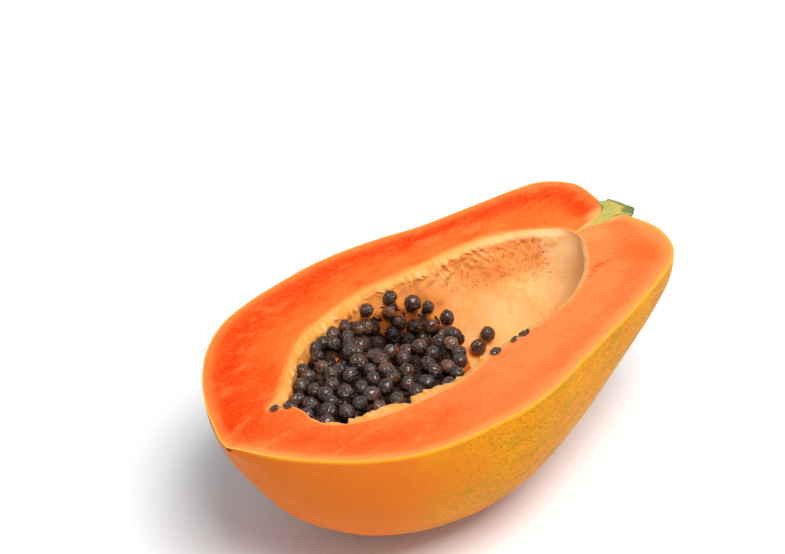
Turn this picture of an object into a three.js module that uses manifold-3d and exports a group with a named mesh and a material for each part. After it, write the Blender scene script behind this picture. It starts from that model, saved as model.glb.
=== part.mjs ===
// Half of a ripe papaya, cut lengthwise and lying on its skin with the cut face up.
// Millimetres, +Z up. The blossom end is at -X and the stem at +X. While the pieces are
// made, the blossom scar is at the origin and the cut face is the plane z = 0; the
// finished group is then lifted so that the fruit rests on z = 0, centred over the origin.
import * as THREE from 'three';
import { ParametricGeometry } from 'three/addons/geometries/ParametricGeometry.js';
import { mergeVertices } from 'three/addons/utils/BufferGeometryUtils.js';
import Module from 'manifold-3d';

const wasm = await Module();
wasm.setup();

// ---------------------------------------------------------------- driving sizes

// Cross-sections of the skin from the blossom scar to the stem notch. Each one runs from a
// point of the rim on the left side (+Y) to one on the right side (-Y), and hangs as a
// half round to its depth: [left x, left y, right x, right y, depth].
const SKIN_SECTIONS = [
  [0, 0, 0, 0, 0],
  [2, 6.5, 2.2, -5, 4.5],
  [6.5, 15.5, 6.5, -16, 11.5],
  [13.5, 28, 14, -29.5, 28],
  [24.5, 43, 26, -45.5, 46.8],
  [39, 57, 42, -59, 60.7],
  [56, 67, 60, -66.5, 70.4],
  [74, 71.2, 78, -70, 77],
  [92, 72.3, 96, -72, 80.2],
  [110, 72.2, 114, -70.2, 81.3],
  [128, 69.6, 132, -66.5, 79.4],
  [146, 64.5, 150, -62.9, 71.8],
  [163, 58.2, 167, -59.5, 61],
  [180, 54.2, 184, -55.5, 51.8],
  [197, 50.5, 199, -51.2, 44],
  [213, 47, 212, -46, 37],
  [226, 42.2, 221.5, -37.5, 29.5],
  [233.8, 31, 227.5, -25, 20],
  [233, 20, 228, -14, 10.5],
  [226, 1, 226, 1, 0],
];

// Cross-sections of the seed cavity, each facing the skin section of the same number.
const CAVITY_SECTIONS = [
  [27, 5.5, 27, 5.5, 0],
  [29.5, 7.3, 31, 3, 3],
  [33.5, 9, 34.6, 1, 7],
  [38, 11.2, 35.3, -6, 13],
  [44, 14.8, 33.8, -13.5, 20],
  [53, 22.3, 37.5, -22, 28],
  [63, 29.8, 48, -29.6, 36],
  [74, 34.8, 63, -34.6, 41],
  [87, 37.5, 79, -37.8, 44.5],
  [101, 39.1, 95, -38.4, 46],
  [115, 39, 111, -35.8, 46],
  [129, 35.9, 126, -35.7, 45],
  [144, 34.1, 141, -35.6, 43],
  [160, 32, 156, -34.3, 40],
  [174, 28.4, 170, -30.2, 35],
  [185, 22.8, 182, -23.8, 28],
  [194, 15.2, 191.5, -16, 19],
  [199.5, 9, 198, -8, 8.5],
  [201.6, 4.3, 201, -3.2, 3.4],
  [202, 0.5, 202, 0.5, 0],
];

// Cross-sections of the cut stem: a root tapering into the flesh, a collar and a stump.
const STEM_SECTIONS = [
  [211, -1.4, 211, -1.4, 0],
  [215, 0.4, 215, -2.8, 1.6],
  [221, 2.4, 221, -3.2, 3],
  [226, 6, 226, -5.2, 5.4],
  [228.6, 10.6, 228.2, -9.6, 8.2],
  [230, 8.8, 230, -8, 8],
  [231.5, 8, 232, -6.6, 7.4],
  [233.4, 7.7, 234.2, -6.2, 7],
  [233.6, 4, 234.2, -3, 3.6],
  [234, 0.6, 234, 0.6, 0],
];

const REST_DEPTH = 80.3; // the skin is pressed flat at this depth, where the half lies
const RIB_COUNT = 5; // faint ribs along the skin
const RIB_HEIGHT = 0.7;
const RIB_FULL_DEPTH = 30; // where the half is this deep the ribs have their full height

const LEDGE_WIDTH = 2.8; // the soft lining stands in from the flesh as a roll along the left edge
const LEDGE_DROP = 3; // depth at which the roll stands in furthest
const LEDGE_FADE = [5, 32]; // depths between which it goes back to the plain wall
const COMB_STEPS = 3; // one fold of the frilled roll in this many sections
const COMB_DEPTH = 1.3;
const COMB_START = 0.3; // the frill runs along this share of the cavity
const COMB_END = 0.72;

// The lining's shelf along the right edge, wide and notched beside the seeds: [x, width].
const SHELF_WIDTHS = [
  [30, 0.5],
  [38, 1],
  [43, 5.5],
  [55, 7.6],
  [62, 8.2],
  [66, 5.2],
  [70, 8],
  [82, 7.6],
  [87, 3.6],
  [105, 3.2],
  [125, 3.4],
  [165, 2.4],
  [198, 2],
];
const SHELF_DROP = 1.7;
const SHELF_FADE = [3, 32];
const LINING_FULL = [0.16, 0.86]; // roll and shelf are full between these shares of the cavity

const GAP = 0.3; // clear space between neighbouring pieces
const SOCKET_STRETCH = 3; // the stem's socket is longer by this many clearances at each end
const ROOM_SCALE = 0.982; // the seeds keep to the cavity's shape at this scale about its middle,
const ROOM_LIFT = 0.5; // raised by this much
const ROOM_MIDDLE = 115;

const SEED_LENGTH = 7;
const SEED_WIDTH = 6.3;
const SEED_SIDES_RISE = 1.08; // makes up for the few flat sides of a seed in the heap
const SEED_VARIATION = 0.12;
const SEED_ROW_STEP = 6;
const SEED_STEP = 6.6;
const SEED_JITTER = 0.7;
const SEED_JITTER_UP = 0.6; // share of the jitter that goes up or down
const SEED_SKIPPED = 0.06; // share of the places left empty
const SEED_DRAW = 2041; // seed of the random draw
const SEED_EDGE_DEPTH = 5; // no seed of the heap lies where the wall is shallower than this
const CORE_BELOW_SEEDS = 2.4; // the pulp that holds the seeds lies this far under their centres
const CORE_WIDTH = 90; // the core's block before it is cut to the cavity
const CORE_FLOOR = -70;

const HEAP_TOP = -3.2; // heap of seeds: level of its high ground on the right side
const HEAP_LEAN = { drop: 3.4, from: -12, to: 26 }; // it is lower on the left side by the drop
const HEAP_ON_WALL = 4.4; // thickness of the layer on the bare wall
const HEAP_START = 38;
const HEAP_END = { x: 101.5, y: -26.5, slope: 0.95, limit: 147.5 };
const HOLLOW = { x: 126, y: 15, alongX: 44, alongY: 25, flatShare: 0.2, depth: 27 };
const HOLLOW_STEMWARD = { depth: 18, from: 118, to: 140 }; // further depth towards the stem
// Towards the stem no seed lies higher on the left wall than this: [x, height].
const HEAP_CEILING = [
  [120, -3],
  [127, -9],
  [139, -18],
  [146, -26],
  [149, -34],
];

// Two larger seeds that lie apart on the cavity's floor: [x, y, turn about z in degrees].
const LOOSE_SEEDS = [
  [156.5, 13, -42],
  [149, 11.5, -42],
];
const LOOSE_SEED_SCALE = 1.1;
// Scraps of dried seed coat on the right-hand edge: [x, length, width, turn about z in degrees].
const COAT_SCRAPS = [
  [112.3, 6.4, 3, 35],
  [123.2, 4.2, 2.2, 5],
  [129.1, 6.4, 2.6, 12],
  [28.7, 5, 2.4, -20],
  [33.7, 5.4, 2.8, -42],
];
const SCRAP_THICKNESS = 1.4;
const SCRAP_INSET = 0.4; // a scrap's middle lies this far from the edge on the flesh

const EDGE_CROWDING = 0.13; // how closely the wall's steps crowd towards its edges
const SECTIONS_ALONG = 72;
const SKIN_STEPS = 26;
const FACE_STEPS = 2;
const CAVITY_STEPS = 14;
const STEM_ALONG = 18;
const STEM_STEPS = 10;
const CORE_STEPS = [16, 12];
const SHORTEST_EDGE = 0.1; // slivers left by a cut are closed up to this size
const SEARCH_STEPS = 24; // halvings when a place along the cavity is looked for
const PATH_STEPS = 400; // fine steps along a path that seeds are set out on

// ---------------------------------------------------------------- small helpers

// Repeatable random numbers from 0 to 1.
function makeRandom(seed) {
  let state = seed;
  return () => {
    state = (state * 48271) % 2147483647;
    return state / 2147483647;
  };
}

function smoothstep(low, high, value) {
  const share = Math.min(Math.max((value - low) / (high - low), 0), 1);
  return share * share * (3 - 2 * share);
}

// The value at x in a table of [x, value], straight between its rows.
function tableAt(table, x) {
  const after = table.findIndex(([rowX]) => rowX > x);
  if (after === 0) return table[0][1];
  if (after < 0) return table[table.length - 1][1];
  const [fromX, from] = table[after - 1];
  const [toX, to] = table[after];
  return from + ((to - from) * (x - fromX)) / (toX - fromX);
}

// The section at a place from 0 to 1 along a list, smoothly between its neighbours.
function sectionAt(sections, along) {
  const last = sections.length - 1;
  const place = Math.min(Math.max(along, 0), 1) * last;
  const index = Math.min(Math.floor(place), last - 1);
  const part = place - index;
  const before = sections[Math.max(index - 1, 0)];
  const from = sections[index];
  const to = sections[index + 1];
  const after = sections[Math.min(index + 2, last)];
  const [leftX, leftY, rightX, rightY, depth] = from.map((value, k) => {
    const slopeFrom = (to[k] - before[k]) / 2;
    const slopeTo = (after[k] - value) / 2;
    const bend = 2 * (value - to[k]) + slopeFrom + slopeTo;
    const lean = 3 * (to[k] - value) - 2 * slopeFrom - slopeTo;
    return ((bend * part + lean) * part + slopeFrom) * part + value;
  });
  return {
    middle: new THREE.Vector2((leftX + rightX) / 2, (leftY + rightY) / 2),
    half: new THREE.Vector2((leftX - rightX) / 2, (leftY - rightY) / 2),
    depth,
  };
}

// A point of a section's half round: angle 0 is the left rim, PI the right rim.
function hangingPoint(section, angle) {
  const across = Math.cos(angle);
  return new THREE.Vector3(
    section.middle.x + section.half.x * across,
    section.middle.y + section.half.y * across,
    -section.depth * Math.sin(angle),
  );
}

// Turns a geometry into a closed solid whose faces point out.
function solidOf(geometry) {
  const bare = geometry.clone();
  bare.deleteAttribute('normal');
  bare.deleteAttribute('uv');
  const merged = mergeVertices(bare, 1e-4);
  const corners = merged.index.array;
  const kept = [];
  for (let i = 0; i < corners.length; i += 3) {
    const [a, b, c] = corners.slice(i, i + 3);
    if (a !== b && b !== c && c !== a) kept.push(a, b, c);
  }
  const build = (triVerts) => new wasm.Manifold(new wasm.Mesh({
    numProp: 3,
    vertProperties: new Float32Array(merged.attributes.position.array),
    triVerts: new Uint32Array(triVerts),
  }));
  const solid = build(kept);
  if (solid.volume() > 0) return solid;
  return build(kept.reverse());
}

function geometryOf(solid) {
  const mesh = solid.getMesh();
  const geometry = new THREE.BufferGeometry();
  geometry.setAttribute('position', new THREE.BufferAttribute(mesh.vertProperties, 3));
  geometry.setIndex(new THREE.BufferAttribute(mesh.triVerts, 1));
  geometry.computeVertexNormals();
  return geometry;
}

function makePiece(name, solid, { color, roughness }) {
  const material = new THREE.MeshStandardMaterial({ color, roughness, metalness: 0 });
  const piece = new THREE.Mesh(geometryOf(solid), material);
  piece.name = name;
  return piece;
}

// A closed loft: pointOf(along, step) gives the points of each ring, step 0 to ringSteps - 1.
function loft(pointOf, ringSteps, alongSteps) {
  return solidOf(new ParametricGeometry((around, along, target) => {
    const step = Math.round(around * ringSteps) % ringSteps;
    target.copy(pointOf(along, step));
  }, ringSteps, alongSteps));
}

// ---------------------------------------------------------------- the fruit

function skinPoint(along, angle) {
  const section = sectionAt(SKIN_SECTIONS, along);
  const ribs = 0.5 + 0.5 * Math.cos(2 * RIB_COUNT * angle);
  const growth = -RIB_HEIGHT * ribs * Math.sin(angle) * smoothstep(0, RIB_FULL_DEPTH, section.depth);
  const point = hangingPoint({ ...section, depth: section.depth + growth }, angle);
  point.z = Math.max(point.z, -REST_DEPTH);
  return point;
}

// How far the lining stands in from a point of the plain wall: a frilled roll on the left,
// a shelf on the right, neither at the cavity's ends.
function liningAt(along, point, onLeft) {
  const depth = -point.z;
  const ends = smoothstep(0, LINING_FULL[0], along) * smoothstep(1, LINING_FULL[1], along);
  if (!onLeft) {
    const shape = smoothstep(0, SHELF_DROP, depth) * smoothstep(SHELF_FADE[1], SHELF_FADE[0], depth);
    return tableAt(SHELF_WIDTHS, point.x) * ends * shape;
  }
  const isFrilled = along > COMB_START && along < COMB_END;
  const fold = Math.cos((2 * Math.PI * along * SECTIONS_ALONG) / COMB_STEPS);
  const width = LEDGE_WIDTH + (isFrilled ? COMB_DEPTH * fold : 0);
  const shape = smoothstep(0, LEDGE_DROP, depth) * smoothstep(LEDGE_FADE[1], LEDGE_FADE[0], depth);
  return width * ends * shape;
}

// A point of the cavity's wall, from the left edge at share 0 to the right edge at share 1.
// Steps crowd towards both edges.
function cavityPoint(along, share) {
  const angle = Math.PI * (share - EDGE_CROWDING * Math.sin(2 * Math.PI * share));
  const section = sectionAt(CAVITY_SECTIONS, along);
  const point = hangingPoint(section, angle);
  const width = section.half.length();
  if (width === 0) return point;
  const onLeft = share < 0.5;
  const inward = Math.min(liningAt(along, point, onLeft), width / 2) * (onLeft ? -1 : 1);
  point.x += (section.half.x / width) * inward;
  point.y += (section.half.y / width) * inward;
  return point;
}

// One closed surface: the skin, the cut face on the right, the cavity and the cut face on the left.
function makeFruit(socket) {
  const rightFace = SKIN_STEPS;
  const cavity = rightFace + FACE_STEPS;
  const leftFace = cavity + CAVITY_STEPS;
  const ringSteps = leftFace + FACE_STEPS;
  const ringPoint = (along, step) => {
    if (step <= rightFace) return skinPoint(along, (Math.PI * step) / SKIN_STEPS);
    if (step < cavity) {
      const rim = skinPoint(along, Math.PI);
      return rim.lerp(cavityPoint(along, 1), (step - rightFace) / FACE_STEPS).setZ(0);
    }
    if (step <= leftFace) return cavityPoint(along, 1 - (step - cavity) / CAVITY_STEPS);
    const edge = cavityPoint(along, 0);
    return edge.lerp(skinPoint(along, 0), (step - leftFace) / FACE_STEPS).setZ(0);
  };
  return loft(ringPoint, ringSteps, SECTIONS_ALONG).subtract(socket).simplify(SHORTEST_EDGE);
}

// ---------------------------------------------------------------- the stem

// The stem is cut lengthwise with the fruit. With a clearance it is a whole round, for the socket.
function makeStem(clearance) {
  const grown = (along) => {
    const section = sectionAt(STEM_SECTIONS, along);
    const width = section.half.length();
    const ends = smoothstep(0, 0.1, Math.min(along, 1 - along));
    if (width > 0) section.half.multiplyScalar(1 + (clearance * ends) / width);
    section.depth += clearance * ends;
    section.middle.x += SOCKET_STRETCH * clearance * (along * 2 - 1);
    return section;
  };
  const ringSteps = clearance > 0 ? 2 * STEM_STEPS : STEM_STEPS + 1;
  const ringPoint = (along, step) => hangingPoint(grown(along), (Math.PI * step) / STEM_STEPS);
  return loft(ringPoint, ringSteps, STEM_ALONG);
}

// ---------------------------------------------------------------- the seeds

// Height of the heap's surface at a point of the cavity's plan, above a wall of known height.
function heapHeight(x, y, wallHeight) {
  const acrossX = (x - HOLLOW.x) / HOLLOW.alongX;
  const acrossY = (y - HOLLOW.y) / HOLLOW.alongY;
  const inHollow = smoothstep(0, 1 - HOLLOW.flatShare, 1 - acrossX ** 2 - acrossY ** 2);
  const further = HOLLOW_STEMWARD.depth * smoothstep(HOLLOW_STEMWARD.from, HOLLOW_STEMWARD.to, x);
  const depth = HOLLOW.depth + further;
  const top = HEAP_TOP - HEAP_LEAN.drop * smoothstep(HEAP_LEAN.from, HEAP_LEAN.to, y);
  const highest = Math.min(top, tableAt(HEAP_CEILING, x));
  return Math.min(highest, Math.max(top - depth * inHollow, wallHeight + HEAP_ON_WALL));
}

// Where the heap ends towards the stem, at a place across the cavity.
function heapEndAt(y) {
  return Math.min(HEAP_END.x + HEAP_END.slope * (y - HEAP_END.y), HEAP_END.limit);
}

// A point of the heap's surface above the cavity wall's point at a share across it.
function heapPoint(along, share) {
  const point = cavityPoint(along, share);
  point.z = heapHeight(point.x, point.y, point.z);
  return point;
}

// Places from 0 to 1 that are a step apart along a path of points.
function placesAlong(pathPoint, step, start) {
  const places = [];
  let travelled = start;
  let previous = pathPoint(0);
  for (let i = 1; i <= PATH_STEPS; i += 1) {
    const point = pathPoint(i / PATH_STEPS);
    travelled += point.distanceTo(previous);
    previous = point;
    if (travelled >= step) {
      travelled -= step;
      places.push(i / PATH_STEPS);
    }
  }
  return places;
}

// Places, sizes and turns of the heap's seeds, in uneven rows over its surface.
function seedPlaces() {
  const random = makeRandom(SEED_DRAW);
  const jitter = () => (random() - 0.5) * 2 * SEED_JITTER;
  const places = [];
  const rows = placesAlong((along) => heapPoint(along, 0.5).setZ(0), SEED_ROW_STEP, SEED_ROW_STEP / 2);
  rows.forEach((along, row) => {
    const start = row % 2 === 0 ? SEED_STEP * 0.5 : SEED_STEP;
    placesAlong((share) => heapPoint(along, share), SEED_STEP, start).forEach((share) => {
      const point = heapPoint(along, share);
      point.add(new THREE.Vector3(jitter(), jitter(), jitter() * SEED_JITTER_UP));
      const scale = 1 + SEED_VARIATION * (random() * 2 - 1);
      const turn = new THREE.Euler(random() * Math.PI, random() * Math.PI, random() * Math.PI);
      const skipped = random() < SEED_SKIPPED;
      const isNearEdge = cavityPoint(along, share).z > -SEED_EDGE_DEPTH;
      if (point.x < HEAP_START || point.x > heapEndAt(point.y) || isNearEdge || skipped) return;
      places.push({ point, scale, turn });
    });
  });
  return places;
}

function seedAt({ point, scale, turn }) {
  const seed = new THREE.IcosahedronGeometry(1, 0);
  seed.scale(SEED_LENGTH / 2, SEED_WIDTH / 2, SEED_WIDTH / 2);
  const place = new THREE.Matrix4().compose(
    point,
    new THREE.Quaternion().setFromEuler(turn),
    new THREE.Vector3().setScalar(scale * SEED_SIDES_RISE),
  );
  return solidOf(seed.applyMatrix4(place));
}

// The pulp that the seeds stand in: a block whose top follows the heap's surface.
function makeHeapCore(room) {
  const block = new THREE.BoxGeometry(1, CORE_WIDTH, 1, ...CORE_STEPS, 1);
  const vertices = block.attributes.position;
  for (let i = 0; i < vertices.count; i += 1) {
    const y = vertices.getY(i);
    const x = THREE.MathUtils.lerp(HEAP_START - 1, heapEndAt(y) - 1, vertices.getX(i) + 0.5);
    const top = heapHeight(x, y, wallHeightAt(x, y)) - CORE_BELOW_SEEDS;
    vertices.setXYZ(i, x, y, vertices.getZ(i) > 0 ? top : CORE_FLOOR);
  }
  return solidOf(block).intersect(room);
}

// Height of the cavity's wall under a point of its plan.
function wallHeightAt(x, y) {
  let low = 0;
  let high = 1;
  for (let i = 0; i < SEARCH_STEPS; i += 1) {
    const along = (low + high) / 2;
    const { middle, half } = sectionAt(CAVITY_SECTIONS, along);
    const lean = half.y > 0 ? (half.x / half.y) * (y - middle.y) : 0;
    if (middle.x + lean < x) low = along;
    else high = along;
  }
  const { middle, half, depth } = sectionAt(CAVITY_SECTIONS, low);
  const across = half.y > 0 ? (y - middle.y) / half.y : 0;
  return -depth * Math.sqrt(Math.max(1 - across ** 2, 0));
}

// The space inside the cavity that the seeds may fill, closed by a ridge above the cut face.
function makeSeedRoom() {
  const cavity = loft((along, step) => {
    if (step <= CAVITY_STEPS) return cavityPoint(along, step / CAVITY_STEPS);
    const { middle, half } = sectionAt(CAVITY_SECTIONS, along);
    return new THREE.Vector3(middle.x, middle.y, half.length());
  }, CAVITY_STEPS + 2, SECTIONS_ALONG);
  return cavity
    .translate([-ROOM_MIDDLE, 0, 0])
    .scale(ROOM_SCALE)
    .translate([ROOM_MIDDLE, 0, ROOM_LIFT]);
}

function makeSeedHeap() {
  const room = makeSeedRoom();
  const pieces = [makeHeapCore(room), ...seedPlaces().map(seedAt)];
  const heap = wasm.Manifold.union(pieces).intersect(room).simplify(SHORTEST_EDGE);
  const [largest] = heap.decompose().sort((a, b) => b.volume() - a.volume());
  return largest;
}

// The way out of the cavity's wall over a point of its plan.
function wallNormalAt(x, y) {
  const reach = 0.5;
  const slopeX = (wallHeightAt(x + reach, y) - wallHeightAt(x - reach, y)) / (2 * reach);
  const slopeY = (wallHeightAt(x, y + reach) - wallHeightAt(x, y - reach)) / (2 * reach);
  return new THREE.Vector3(-slopeX, -slopeY, 1).normalize();
}

function makeLooseSeed([x, y, turn]) {
  const seed = new THREE.SphereGeometry(1, 9, 6);
  seed.scale(SEED_LENGTH / 2, SEED_WIDTH / 2, SEED_WIDTH / 2);
  seed.scale(LOOSE_SEED_SCALE, LOOSE_SEED_SCALE, LOOSE_SEED_SCALE);
  seed.rotateZ(THREE.MathUtils.degToRad(turn));
  const centre = wallNormalAt(x, y).multiplyScalar((LOOSE_SEED_SCALE * SEED_WIDTH) / 2 + 3 * GAP);
  centre.add(new THREE.Vector3(x, y, wallHeightAt(x, y)));
  seed.translate(centre.x, centre.y, centre.z);
  return solidOf(seed);
}

function makeCoatScrap([x, length, width, turn]) {
  const scrap = new THREE.SphereGeometry(1, 8, 4);
  scrap.rotateX(Math.PI / 2);
  scrap.scale(length / 2, width / 2, SCRAP_THICKNESS / 2);
  scrap.rotateZ(THREE.MathUtils.degToRad(turn));
  const edge = placeOnRightEdge(x);
  scrap.translate(edge.x, edge.y, edge.z);
  return solidOf(scrap);
}

// A place just over the cut face, on the flesh beside the cavity's right edge.
function placeOnRightEdge(x) {
  let low = 0;
  let high = 1;
  for (let i = 0; i < SEARCH_STEPS; i += 1) {
    const along = (low + high) / 2;
    if (cavityPoint(along, 1).x < x) low = along;
    else high = along;
  }
  const edge = cavityPoint(low, 1);
  return new THREE.Vector3(edge.x, edge.y - SCRAP_INSET, SCRAP_THICKNESS / 2 + GAP);
}

// ---------------------------------------------------------------- the whole

const FLESH = { color: 0xf26430, roughness: 0.45 };
const STEM = { color: 0xa9b25c, roughness: 0.7 };
const SEEDS = { color: 0x24150f, roughness: 0.3 };

const papaya = new THREE.Group();
papaya.add(makePiece('fruit', makeFruit(makeStem(2 * GAP)), FLESH));
papaya.add(makePiece('stem', makeStem(0), STEM));
papaya.add(makePiece('seeds', makeSeedHeap(), SEEDS));
LOOSE_SEEDS.forEach((place, i) => papaya.add(makePiece(`loose_seed_${i + 1}`, makeLooseSeed(place), SEEDS)));
COAT_SCRAPS.forEach((place, i) => papaya.add(makePiece(`coat_scrap_${i + 1}`, makeCoatScrap(place), SEEDS)));

const box = new THREE.Box3().setFromObject(papaya);
const centre = box.getCenter(new THREE.Vector3());
papaya.position.set(-centre.x, -centre.y, -box.min.z);

export default papaya;
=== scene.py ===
"""Half of a ripe papaya, cut lengthwise and lying on its skin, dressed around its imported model.

Shapes are worked out in millimetres with the blossom scar at the origin, +X towards the stem
and the cut face in the plane z = 0, and are moved into the frame when a mesh is made.
"""

import logging
import math
from dataclasses import dataclass
from dataclasses import replace
from enum import Enum
from typing import Any

import bpy
import numpy as np
from mathutils import Euler
from mathutils import Matrix
from mathutils import Vector


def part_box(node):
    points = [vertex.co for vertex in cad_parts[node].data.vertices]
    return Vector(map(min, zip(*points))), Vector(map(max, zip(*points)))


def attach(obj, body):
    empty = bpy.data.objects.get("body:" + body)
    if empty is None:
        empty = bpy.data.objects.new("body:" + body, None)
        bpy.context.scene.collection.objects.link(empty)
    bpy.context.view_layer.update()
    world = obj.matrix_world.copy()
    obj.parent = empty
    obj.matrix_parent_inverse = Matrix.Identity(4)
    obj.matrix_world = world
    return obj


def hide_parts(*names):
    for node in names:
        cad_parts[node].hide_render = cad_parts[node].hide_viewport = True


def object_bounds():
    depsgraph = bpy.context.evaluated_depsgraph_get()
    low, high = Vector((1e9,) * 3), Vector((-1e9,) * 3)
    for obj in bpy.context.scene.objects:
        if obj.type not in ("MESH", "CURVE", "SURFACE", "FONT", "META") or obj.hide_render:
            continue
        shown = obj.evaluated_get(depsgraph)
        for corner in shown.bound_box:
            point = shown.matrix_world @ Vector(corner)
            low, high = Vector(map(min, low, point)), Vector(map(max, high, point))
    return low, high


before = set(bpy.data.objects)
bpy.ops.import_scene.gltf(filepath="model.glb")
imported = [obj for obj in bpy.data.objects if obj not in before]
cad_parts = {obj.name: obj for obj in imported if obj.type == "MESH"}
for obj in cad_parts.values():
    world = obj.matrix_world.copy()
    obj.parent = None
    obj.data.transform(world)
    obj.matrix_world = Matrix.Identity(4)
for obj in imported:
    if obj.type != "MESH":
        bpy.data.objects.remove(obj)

LOG = logging.getLogger("papaya")
CAD_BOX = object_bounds()
METRES = 0.001

Colour = tuple[float, float, float]
Place = tuple[float, float, float]
Circle = tuple[float, float, float]
Points = np.ndarray


def smoothstep(low: float, high: float, value: Any) -> Any:
    """Rises smoothly from 0 at low to 1 at high, or falls where low is above high.

    Args:
        low: Value that gives 0.
        high: Value that gives 1.
        value: A number or an array.

    Returns:
        The share from 0 to 1, shaped as value is.
    """
    share = np.clip((value - low) / (high - low), 0, 1)
    return share * share * (3 - 2 * share)


@dataclass(frozen=True)
class Stretch:
    """A stretch of a measure in millimetres, with soft ends.

    Attributes:
        start: Where it starts.
        full: Where it is at its full.
        waning: Where it begins to fade.
        end: Where it ends.
    """

    start: float
    full: float
    waning: float
    end: float

    def over(self, value: np.ndarray) -> np.ndarray:
        """How much of the stretch there is at values of the measure, from 0 to 1."""
        return smoothstep(self.start, self.full, value) * smoothstep(self.end, self.waning, value)


# ---------------------------------------------------------------- shapes


@dataclass(frozen=True)
class Sections:
    """Half-round cross-sections along the fruit, each hung between two points of the cut face.

    Attributes:
        rows: For each section left x, left y, right x, right y and depth.
    """

    rows: tuple[tuple[float, ...], ...]

    def at(self, along: np.ndarray) -> np.ndarray:
        """The section at places from 0 to 1 along the list, smoothly between its neighbours.

        Args:
            along: Places from 0 to 1.

        Returns:
            An array of the places' shape with the five values in a last axis.
        """
        table = np.asarray(self.rows, float)
        last = len(table) - 1
        place = np.clip(along, 0, 1) * last
        index = np.minimum(place.astype(int), last - 1)
        part = (place - index)[..., None]
        before = table[np.maximum(index - 1, 0)]
        start = table[index]
        end = table[index + 1]
        after = table[np.minimum(index + 2, last)]
        slope_start = (end - before) / 2
        slope_end = (after - start) / 2
        bend = 2 * (start - end) + slope_start + slope_end
        lean = 3 * (end - start) - 2 * slope_start - slope_end
        return ((bend * part + lean) * part + slope_start) * part + start

    def hanging(self, along: np.ndarray, angle: np.ndarray) -> Points:
        """Points of the sections' half rounds.

        Args:
            along: Places from 0 to 1 along the fruit.
            angle: Angles from 0 at the left rim to pi at the right rim.

        Returns:
            Points with x, y and z in the last axis.
        """
        row = self.at(along)
        across = np.cos(angle)
        x = (row[..., 0] + row[..., 2]) / 2 + (row[..., 0] - row[..., 2]) / 2 * across
        y = (row[..., 1] + row[..., 3]) / 2 + (row[..., 1] - row[..., 3]) / 2 * across
        return np.stack([x, y, -row[..., 4] * np.sin(angle)], -1)


SKIN_SECTIONS = Sections((
    (0, 0, 0, 0, 0),
    (2, 6.5, 2.2, -5, 4.5),
    (6.5, 15.5, 6.5, -16, 11.5),
    (13.5, 28, 14, -29.5, 28),
    (24.5, 43, 26, -45.5, 46.8),
    (39, 57, 42, -59, 60.7),
    (56, 67, 60, -66.5, 70.4),
    (74, 71.2, 78, -70, 77),
    (92, 72.3, 96, -72, 80.2),
    (110, 72.2, 114, -70.2, 81.3),
    (128, 69.6, 132, -66.5, 79.4),
    (146, 64.5, 150, -62.9, 71.8),
    (163, 58.2, 167, -59.5, 61),
    (180, 54.2, 184, -55.5, 51.8),
    (197, 50.5, 199, -51.2, 44),
    (213, 47, 212, -46, 37),
    (226, 42.2, 221.5, -37.5, 29.5),
    (233.8, 31, 227.5, -25, 20),
    (233, 20, 228, -14, 10.5),
    (226, 1, 226, 1, 0),
))
CAVITY_SECTIONS = Sections((
    (27, 5.5, 27, 5.5, 0),
    (29.5, 7.3, 31, 3, 3),
    (33.5, 9, 34.6, 1, 7),
    (38, 11.2, 35.3, -6, 13),
    (44, 14.8, 33.8, -13.5, 20),
    (53, 22.3, 37.5, -22, 28),
    (63, 29.8, 48, -29.6, 36),
    (74, 34.8, 63, -34.6, 41),
    (87, 37.5, 79, -37.8, 44.5),
    (101, 39.1, 95, -38.4, 46),
    (115, 39, 111, -35.8, 46),
    (129, 35.9, 126, -35.7, 45),
    (144, 34.1, 141, -35.6, 43),
    (160, 32, 156, -34.3, 40),
    (174, 28.4, 170, -30.2, 35),
    (185, 22.8, 182, -23.8, 28),
    (194, 15.2, 191.5, -16, 19),
    (199.5, 9, 198, -8, 8.5),
    (201.6, 4.3, 201, -3.2, 3.4),
    (202, 0.5, 202, 0.5, 0),
))
STEM_SECTIONS = Sections((
    (211, -1.4, 211, -1.4, 0),
    (215, 0.4, 215, -2.8, 1.6),
    (221, 2.4, 221, -3.2, 3),
    (226, 6, 226, -5.2, 5.4),
    (228.6, 10.6, 228.2, -9.6, 8.2),
    (230, 8.8, 230, -8, 8),
    (231.5, 8, 232, -6.6, 7.4),
    (233.4, 7.7, 234.2, -6.2, 7),
    (233.6, 4, 234.2, -3, 3.6),
    (234, 0.6, 234, 0.6, 0),
))


class Ripples:
    """Smooth repeatable unevenness, a sum of sine waves that run in random directions."""

    def __init__(self, seed: int, wavelength: float, waves: int = 9) -> None:
        """Draws the waves.

        Args:
            seed: Seed of the random draw.
            wavelength: Middle wavelength, in the units of the points.
            waves: How many waves are added.
        """
        draw = np.random.default_rng(seed)
        directions = draw.normal(size=(waves, 3))
        directions /= np.linalg.norm(directions, axis=1, keepdims=True)
        lengths = wavelength * draw.uniform(0.6, 1.5, (waves, 1))
        self.turns = directions * 2 * math.pi / lengths
        self.phases = draw.uniform(0, 2 * math.pi, waves)
        self.scale = math.sqrt(2 / waves)

    def at(self, points: Points) -> np.ndarray:
        """The unevenness at points, mostly from -1 to 1."""
        return np.sin(points @ self.turns.T + self.phases).sum(-1) * self.scale


@dataclass(frozen=True)
class MeshData:
    """A surface before it becomes a Blender mesh.

    Attributes:
        points: Vertex places in millimetres.
        faces: Triangles by vertex number.
        slots: Material number of each triangle.
        values: Numbers per vertex by name, which the materials read.
    """

    points: Points
    faces: np.ndarray
    slots: np.ndarray
    values: dict[str, np.ndarray]


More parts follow.
